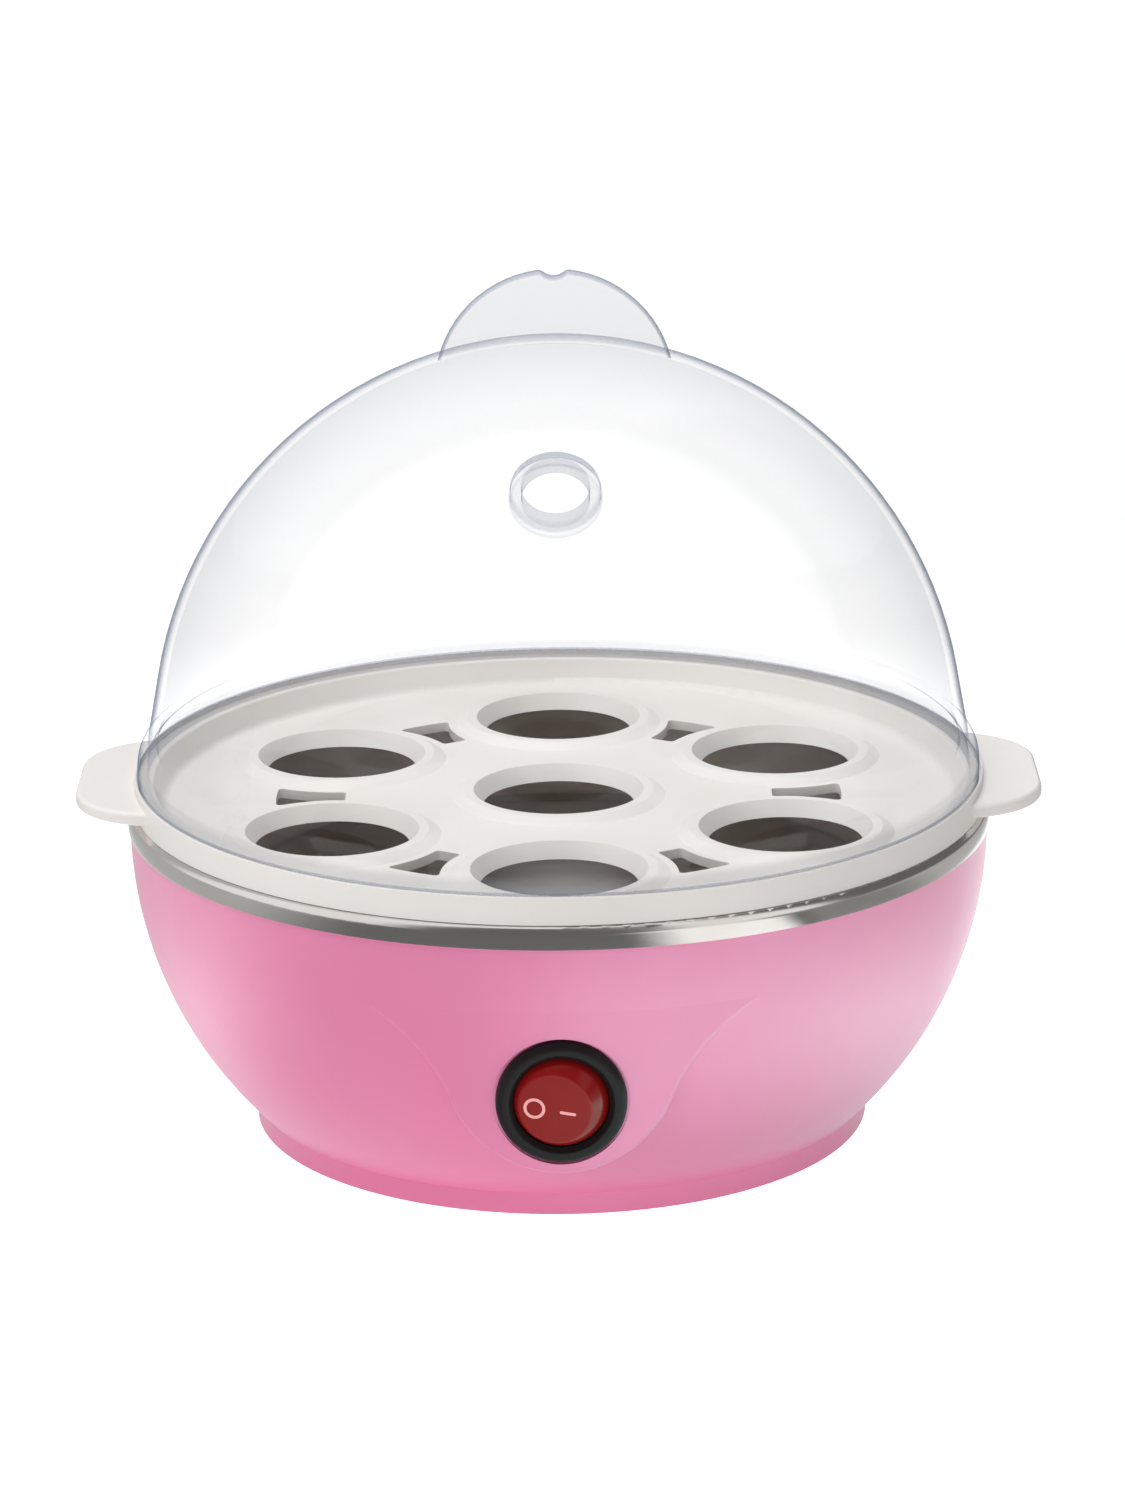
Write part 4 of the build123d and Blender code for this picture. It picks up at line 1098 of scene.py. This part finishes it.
@dataclass
class Studio:
    """White sweep, soft lamps, cards for the gloss and the camera at the photograph's angle.

    Attributes:
        lens_pixels: Focal length in pixels of the photograph.
        photo_height: Height of the photograph in pixels.
        sensor_height: Height of the sensor in millimetres.
        elevation: Height of the camera's line of sight, in degrees.
        distance: From the camera to the point that it was measured from.
        aim_height: Height of that point.
        aim_pixel_offset: How far that point lies left of and below the photograph's middle, in pixels.
        roll: How far the photograph leans to the left, in degrees.
        ambient: Strength of the white surroundings on the object.
        soft_boxes: A low key from the left, a weak fill from the right and a large one above.
        floor_size: Width of the floor.
        floor_color: Its colour.
        floor_bounce: Light that the floor throws back on the object by itself.
        foot_bounce: What it adds to that close to the foot.
        foot_reach: Radii between which that ends.
        floor_glow: Light that it adds where it is seen.
        near_glow: What it adds to that round the object, over its shadow.
        near_reach: Radii between which that ends.
        far_glow: What it adds to that farther off, where the soft box above doesn't reach.
        far_reach: Radii between which that begins.
        card_radius: Radius of the cards round the object that only gloss sees.
        card_corners: Corners of their outlines.
        card_start: Brightness behind the object of the upper two.
        card_height: Height of the one that stands.
        standing_steps: Its light and dark stretches.
        shelf_level: Height of the one just under the steel band.
        shelf_radius: Its inner radius.
        shelf_steps: Its light and dark stretches.
        lying_level: Height of the one on the floor.
        lying_glow: Its brightness outside the stretches.
        lying_reach: Radii between which the stretches begin.
        right_sheen: Its stretch at the right.
        right_color: Colour of that stretch.
        left_sheen: Its stretch at the left.
    """

    lens_pixels: float = 5325.4
    photo_height: float = 1500.0
    sensor_height: float = 36.0
    elevation: float = 17.46
    distance: float = 1.0
    aim_height: float = 0.060
    aim_pixel_offset: Pair = (4.2, 55.4)
    roll: float = 0.56
    ambient: float = 0.3
    soft_boxes: tuple[SoftBox, ...] = (
        SoftBox("key", place=(-0.5, -1.15, 0.28), size=(0.7, 0.35), power=2.95),
        SoftBox("fill", place=(0.6, -1.1, 0.2), size=(0.6, 0.35), power=0.4),
        SoftBox("top", place=(-0.25, 0.0, 1.3), size=(0.9, 0.9), power=12.6),
    )
    floor_size: float = 14.0
    floor_color: Triple = (0.86, 0.86, 0.86)
    floor_bounce: float = 0.2
    foot_bounce: float = 0.55
    foot_reach: Pair = (0.062, 0.08)
    floor_glow: float = 0.08
    near_glow: float = 0.52
    near_reach: Pair = (0.22, 0.36)
    far_glow: float = 0.48
    far_reach: Pair = (0.3, 1.4)
    card_radius: float = 0.26
    card_corners: int = 128
    card_start: float = 0.5
    card_height: float = 0.8
    standing_steps: tuple[Step, ...] = (
        Step(-109, -93, 0.5),
        Step(-44, -28, -0.85),
        Step(16, 32, 0.85),
        Step(58, 68, -0.85),
        Step(143, 153, 0.85),
        Step(150, 170, -0.5),
    )
    shelf_level: float = 57.6 * MM
    shelf_radius: float = 82.5 * MM
    shelf_steps: tuple[Step, ...] = (
        Step(-52, -26, -0.34),
        Step(9, 19, 1.07),
        Step(31, 35, -1.05),
        Step(35, 39, 0.1),
        Step(50, 66, 0.22),
    )
    lying_level: float = 0.4 * MM
    lying_glow: float = 0.8
    lying_reach: Pair = (0.056, 0.12)
    right_sheen: Sheen = Sheen(rise=(-24, 16), fall=(45, 105), fading=0.8, strength=3.9)
    right_color: Triple = (0.6, 1.0, 0.88)
    left_sheen: Sheen = Sheen(rise=(-125, -75), fall=(-85, -45), fading=1.0, strength=1.3)

    def build(self) -> None:
        """Make the camera, the surroundings, the floor, the lamps and the cards."""
        self.camera()
        self.world()
        self.floor()
        for soft_box in self.soft_boxes:
            soft_box.hang(Vector((0.0, 0.0, self.aim_height)))
        self.standing_card()
        self.shelf_card()
        self.lying_card()

    def camera(self) -> None:
        """Camera that sees the photograph's frame."""
        data = bpy.data.cameras.new("camera")
        data.sensor_width = self.sensor_height
        data.lens = self.lens_pixels / self.photo_height * self.sensor_height
        camera = bpy.data.objects.new("camera", data)
        bpy.context.scene.collection.objects.link(camera)
        lift = math.radians(self.elevation)
        side_px, low_px = self.aim_pixel_offset
        camera.location = (
            side_px / self.lens_pixels * self.distance,
            -self.distance * math.cos(lift),
            self.aim_height + self.distance * math.sin(lift),
        )
        pitch = lift - math.atan(low_px / self.lens_pixels)
        upright = Matrix.Rotation(math.radians(90) - pitch, 3, "X")
        camera.rotation_euler = (upright @ Matrix.Rotation(-math.radians(self.roll), 3, "Z")).to_euler()
        bpy.context.scene.camera = camera

    def seen_directly(self, graph: Graph) -> Value:
        """1 for rays that show the background: from the camera, off gloss or through clear plastic.

        Args:
            graph: The graph of the background's material.

        Returns:
            1 for such rays and 0 for others.
        """
        path = graph.node("ShaderNodeLightPath")
        names = ("Is Camera Ray", "Is Glossy Ray", "Is Transmission Ray")
        camera, gloss, through = (Value(graph, path.outputs[name]) for name in names)
        return camera.larger(gloss).larger(through)

    def world(self) -> None:
        """White surroundings that light the object at a plain level."""
        world = bpy.data.worlds.new("studio")
        world.use_nodes = True
        bpy.context.scene.world = world
        graph = Graph(world.node_tree)
        strength = self.ambient + self.seen_directly(graph) * (1 - self.ambient)
        inputs = {"Color": WHITE_LIGHT, "Strength": strength}
        background = graph.value("ShaderNodeBackground", None, inputs)
        graph.node("ShaderNodeOutputWorld", None, {"Surface": background})

    def floor(self) -> None:
        """Wide pale floor that keeps a soft shadow."""
        deselect()
        bpy.ops.mesh.primitive_plane_add(size=self.floor_size)
        floor = bpy.context.object
        floor.name = "floor"
        material, graph = new_material("floor_white")
        lit = graph.value("ShaderNodeBsdfDiffuse", None, {"Color": self.floor_color})
        x, y, _ = graph.axes(graph.place())
        reach = x.hypot(y)
        bounce = self.floor_bounce + (1 - reach.ramp(*self.foot_reach)) * self.foot_bounce
        seen = self.floor_glow + (1 - reach.ramp(*self.near_reach)) * self.near_glow
        seen = seen + reach.ramp(*self.far_reach) * self.far_glow
        level = bounce + self.seen_directly(graph) * seen
        glow = graph.value("ShaderNodeEmission", None, {"Color": WHITE_LIGHT, "Strength": level})
        graph.finish(graph.value("ShaderNodeAddShader", None, {0: lit, 1: glow}))
        material.cycles.emission_sampling = "NONE"
        floor.data.materials.append(material)

    def angle_from_front(self, graph: Graph) -> Value:
        """Angle round the object in degrees: 0 in front of it and 90 at its right."""
        x, y, _ = graph.axes(graph.place())
        return graph.math("ARCTAN2", x, y * -1.0) * math.degrees(1)

    def brightness(self, graph: Graph, steps: tuple[Step, ...]) -> Value:
        """Brightness of a card that changes on the way round the object.

        Args:
            graph: The graph of the card's material.
            steps: The changes on that way.

        Returns:
            The brightness.
        """
        angle = self.angle_from_front(graph)
        return sum((angle.ramp(step.start, step.end) * step.change for step in steps), self.card_start)

    def new_card(self, name: str) -> tuple[bpy.types.Object, Graph]:
        """Settle the card that was just added and start its material.

        Args:
            name: Name of both.

        Returns:
            The card and its material's graph.
        """
        bpy.ops.object.transform_apply(location=True, rotation=True, scale=True)
        card = bpy.context.object
        card.name = name
        material, graph = new_material(name)
        material.cycles.emission_sampling = "NONE"
        card.data.materials.append(material)
        return card, graph

    def gloss_card(self, card: bpy.types.Object, level: Value,
                   color: Union[Triple, Value] = WHITE_LIGHT) -> None:
        """Finish a card that glows at a level and that only gloss sees.

        Args:
            card: The card.
            level: How bright it is, in its material's graph.
            color: Its colour.
        """
        graph = level.graph
        graph.finish(graph.value("ShaderNodeEmission", None, {"Color": color, "Strength": level}))
        card.visible_camera = False
        card.visible_diffuse = False
        card.visible_transmission = False
        card.visible_shadow = False

    def standing_card(self) -> None:
        """Card round the object with the light and dark stretches that the steel's upper edge mirrors."""
        deselect()
        bpy.ops.mesh.primitive_cylinder_add(
            vertices=self.card_corners, radius=self.card_radius, depth=self.card_height,
            end_fill_type="NOTHING", location=(0, 0, self.shelf_level + self.card_height / 2))
        card, graph = self.new_card("standing_card")
        self.gloss_card(card, self.brightness(graph, self.standing_steps))

    def shelf_card(self) -> None:
        """Flat ring just under the steel band, with the stretches that the band itself mirrors."""
        deselect()
        bpy.ops.mesh.primitive_circle_add(
            vertices=self.card_corners, radius=self.card_radius, fill_type="NGON",
            location=(0, 0, self.shelf_level))
        bpy.ops.object.mode_set(mode="EDIT")
        bpy.ops.mesh.select_all(action="SELECT")
        bpy.ops.mesh.inset(thickness=self.card_radius - self.shelf_radius)
        bpy.ops.mesh.delete(type="FACE")
        bpy.ops.object.mode_set(mode="OBJECT")
        card, graph = self.new_card("shelf_card")
        self.gloss_card(card, self.brightness(graph, self.shelf_steps))

    def lying_card(self) -> None:
        """Card on the floor that is bright at both sides and dim in front, for the sheen over the bowl."""
        deselect()
        bpy.ops.mesh.primitive_circle_add(
            vertices=self.card_corners, radius=self.card_radius, fill_type="NGON",
            location=(0, 0, self.lying_level))
        card, graph = self.new_card("lying_card")
        x, y, _ = graph.axes(graph.place())
        angle = self.angle_from_front(graph)
        right = self.right_sheen.share(angle)
        left = self.left_sheen.share(angle)
        sheen = right * self.right_sheen.strength + left * self.left_sheen.strength
        level = self.lying_glow + sheen * x.hypot(y).ramp(*self.lying_reach)
        self.gloss_card(card, level, graph.mixed(right, WHITE_LIGHT, self.right_color))


def main() -> None:
    """Build the studio, dress every solid and add the printed marks."""
    logging.basicConfig(level=logging.INFO, format="%(name)s %(message)s")
    bpy.context.scene.view_settings.view_transform = "Standard"
    Studio().build()
    wardrobe = Wardrobe()
    kinds = (Lid, Tray, Body, RockerSwitch, Heater, Wiring, Underside)
    assemblies = [kind(wardrobe) for kind in kinds]
    for assembly in assemblies:
        assembly.dress()
    for assembly in assemblies:
        assembly.build()


if __name__ == "__main__":
    main()
